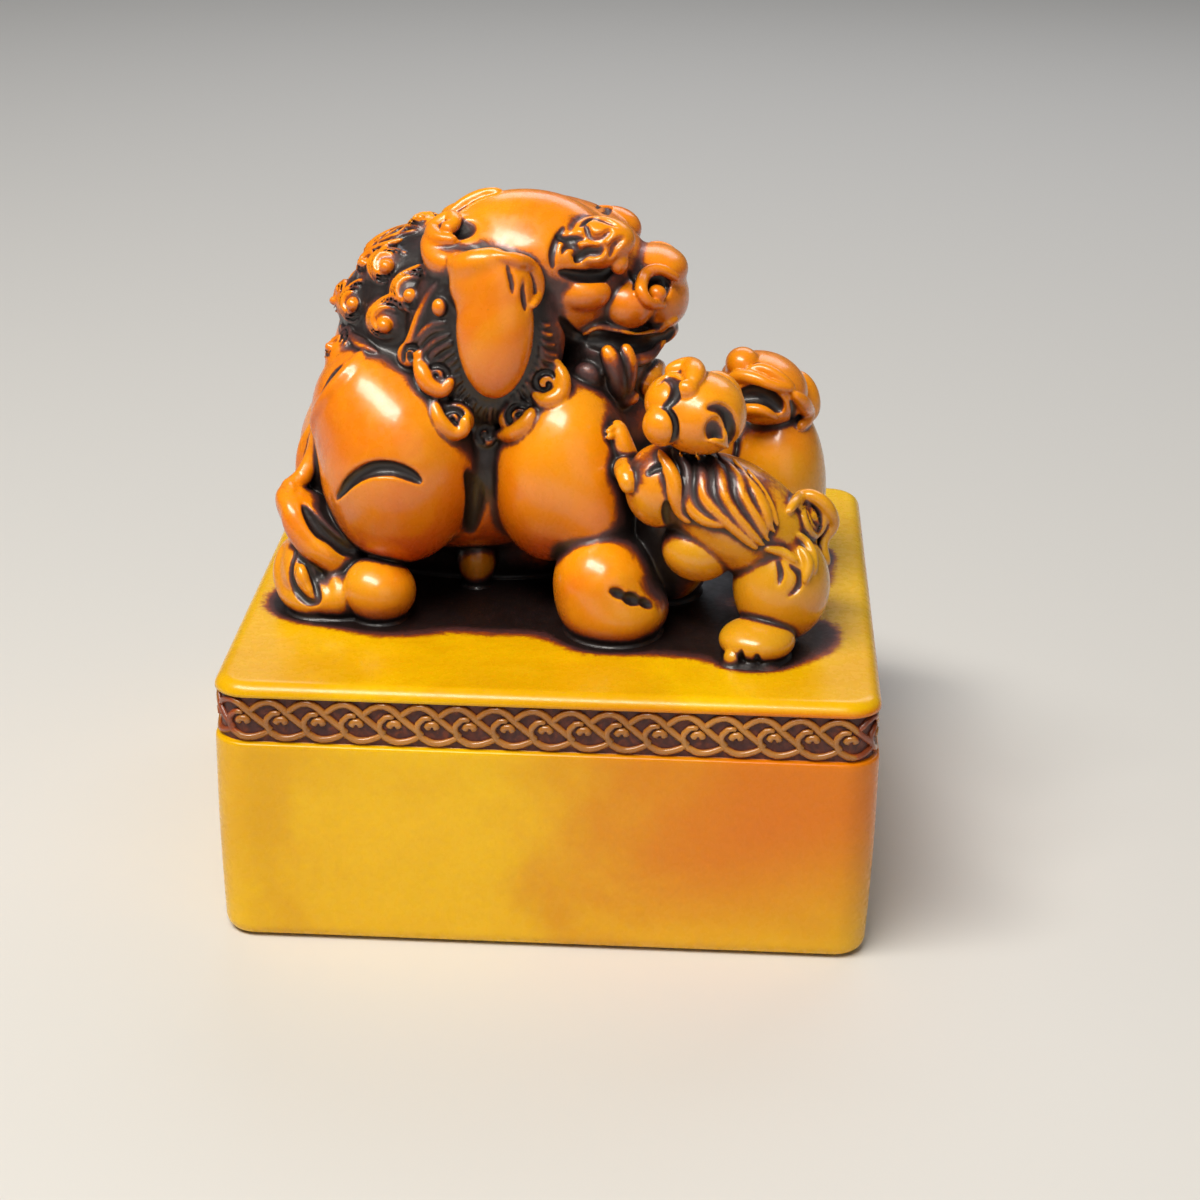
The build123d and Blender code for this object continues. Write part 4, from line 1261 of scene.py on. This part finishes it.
# The path starts where the back right corner starts to bend, and runs counter-clockwise; the
# scrolls of a side start half a bend before its first corner
HALF_BEND = 0.785 * BAND_CORNER
for turn, side in enumerate(("back", "left", "front", "right")):
    mesh = bpy.data.meshes.new("scroll")
    mesh.from_pydata([tuple(p) for p in motif_points * MM], [], [tuple(f) for f in motif_faces])
    carrier = bpy.data.objects.new("scroll_carrier_" + side, mesh)
    bpy.context.scene.collection.objects.link(carrier)
    nodes = carrier.modifiers.new("scrolls", "NODES")
    nodes.node_group = tree
    values = {
        "Pitch": PITCH_MM, "First": turn * (PITCH_MM * SCROLLS) - HALF_BEND,
        "Side": 2 * (HALF - BAND_DEPTH), "Corner": BAND_CORNER, "Foot": BAND_FOOT,
    }
    for key, value in values.items():
        nodes[ids[key]] = value * MM
    nodes[ids["Count"]] = SCROLLS
    nodes[ids["Material"]] = band_stone
    carrier.update_tag()
    bpy.context.view_layer.update()
    made = bpy.data.meshes.new_from_object(carrier.evaluated_get(bpy.context.evaluated_depsgraph_get()))
    bpy.data.objects.remove(carrier)
    bpy.data.meshes.remove(mesh)
    band = bpy.data.objects.new("band_scrolls_" + side, made)
    bpy.context.scene.collection.objects.link(band)
    made.polygons.foreach_set("use_smooth", np.ones(len(made.polygons), bool))
    where = np.zeros(len(made.vertices) * 3, np.float32)
    made.vertices.foreach_get("co", where)
    where = where.reshape(-1, 3) / MM
    stand_out = np.abs(where[:, :2]).max(1) - (HALF - BAND_DEPTH)
    set_attribute(made, "patina_and_shade", BAND_PATINA - 0.9 * np.clip(stand_out, 0, 0.5))
    tie(band, ["scroll_band_" + side])

# The printing face keeps its CAD mesh
face_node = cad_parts["seal_face"]
face_node.data.materials.clear()
face_node.data.materials.append(block_stone)


# Floor, light and camera
bpy.ops.mesh.primitive_plane_add(size=6.0)
floor = bpy.context.object
floor.name = "floor"
paper = bpy.data.materials.new("paper_matt_pale")
paper.use_nodes = True
paper_shader = paper.node_tree.nodes["Principled BSDF"]
paper_shader.inputs["Base Color"].default_value = linear("#D9D7D2")
paper_shader.inputs["Roughness"].default_value = 0.8
floor.data.materials.append(paper)


def matrix_of(side, up, back, place):
    """Placing of a light or camera that looks along minus back."""
    return Matrix([[side[i], up[i], back[i], place[i]] for i in range(3)] + [[0, 0, 0, 1]])


def softbox(name, place, target, size, power, tint="#FFFFFF"):
    """A rectangular lamp turned to a target, with its size in metres and its power in watts."""
    light = bpy.data.lights.new(name, "AREA")
    light.shape = "RECTANGLE"
    light.size, light.size_y = size
    light.energy = power
    light.color = linear(tint)[:3]
    lamp = bpy.data.objects.new(name, light)
    bpy.context.scene.collection.objects.link(lamp)
    gap = np.array(target) - np.array(place)
    back = -gap / np.linalg.norm(gap)
    side = np.cross([0, 0, 1.0], back)
    side /= np.linalg.norm(side)
    lamp.matrix_world = matrix_of(side, np.cross(back, side), back, place)


softbox("key_light", (-0.21, -0.32, 0.66), (0, 0, 0.05), (0.6, 0.22), 6.6, "#FFFAF2")
softbox("front_light", (0.30, -0.62, 0.30), (0, 0, 0.04), (0.5, 0.4), 0.3)
softbox("back_light", (0.1, 0.6, 0.55), (0, 0, 0.04), (0.7, 0.3), 1.6, "#F0F4FF")
world = bpy.data.worlds.new("studio")
world.use_nodes = True
sky = world.node_tree.nodes["Background"]
sky.inputs["Color"].default_value = linear("#C8CCD0")
sky.inputs["Strength"].default_value = 0.15
bpy.context.scene.world = world

lens = bpy.data.cameras.new("photo_camera")
lens.sensor_width = 36.0
lens.lens = lens.sensor_width * FOCAL_PIXELS / PHOTO_PIXELS
lens.clip_start = 0.01
camera = bpy.data.objects.new("photo_camera", lens)
bpy.context.scene.collection.objects.link(camera)
camera.matrix_world = matrix_of(RIGHT, UP, -FORWARD, EYE * MM)
bpy.context.scene.camera = camera
bpy.context.scene.view_settings.view_transform = "Standard"
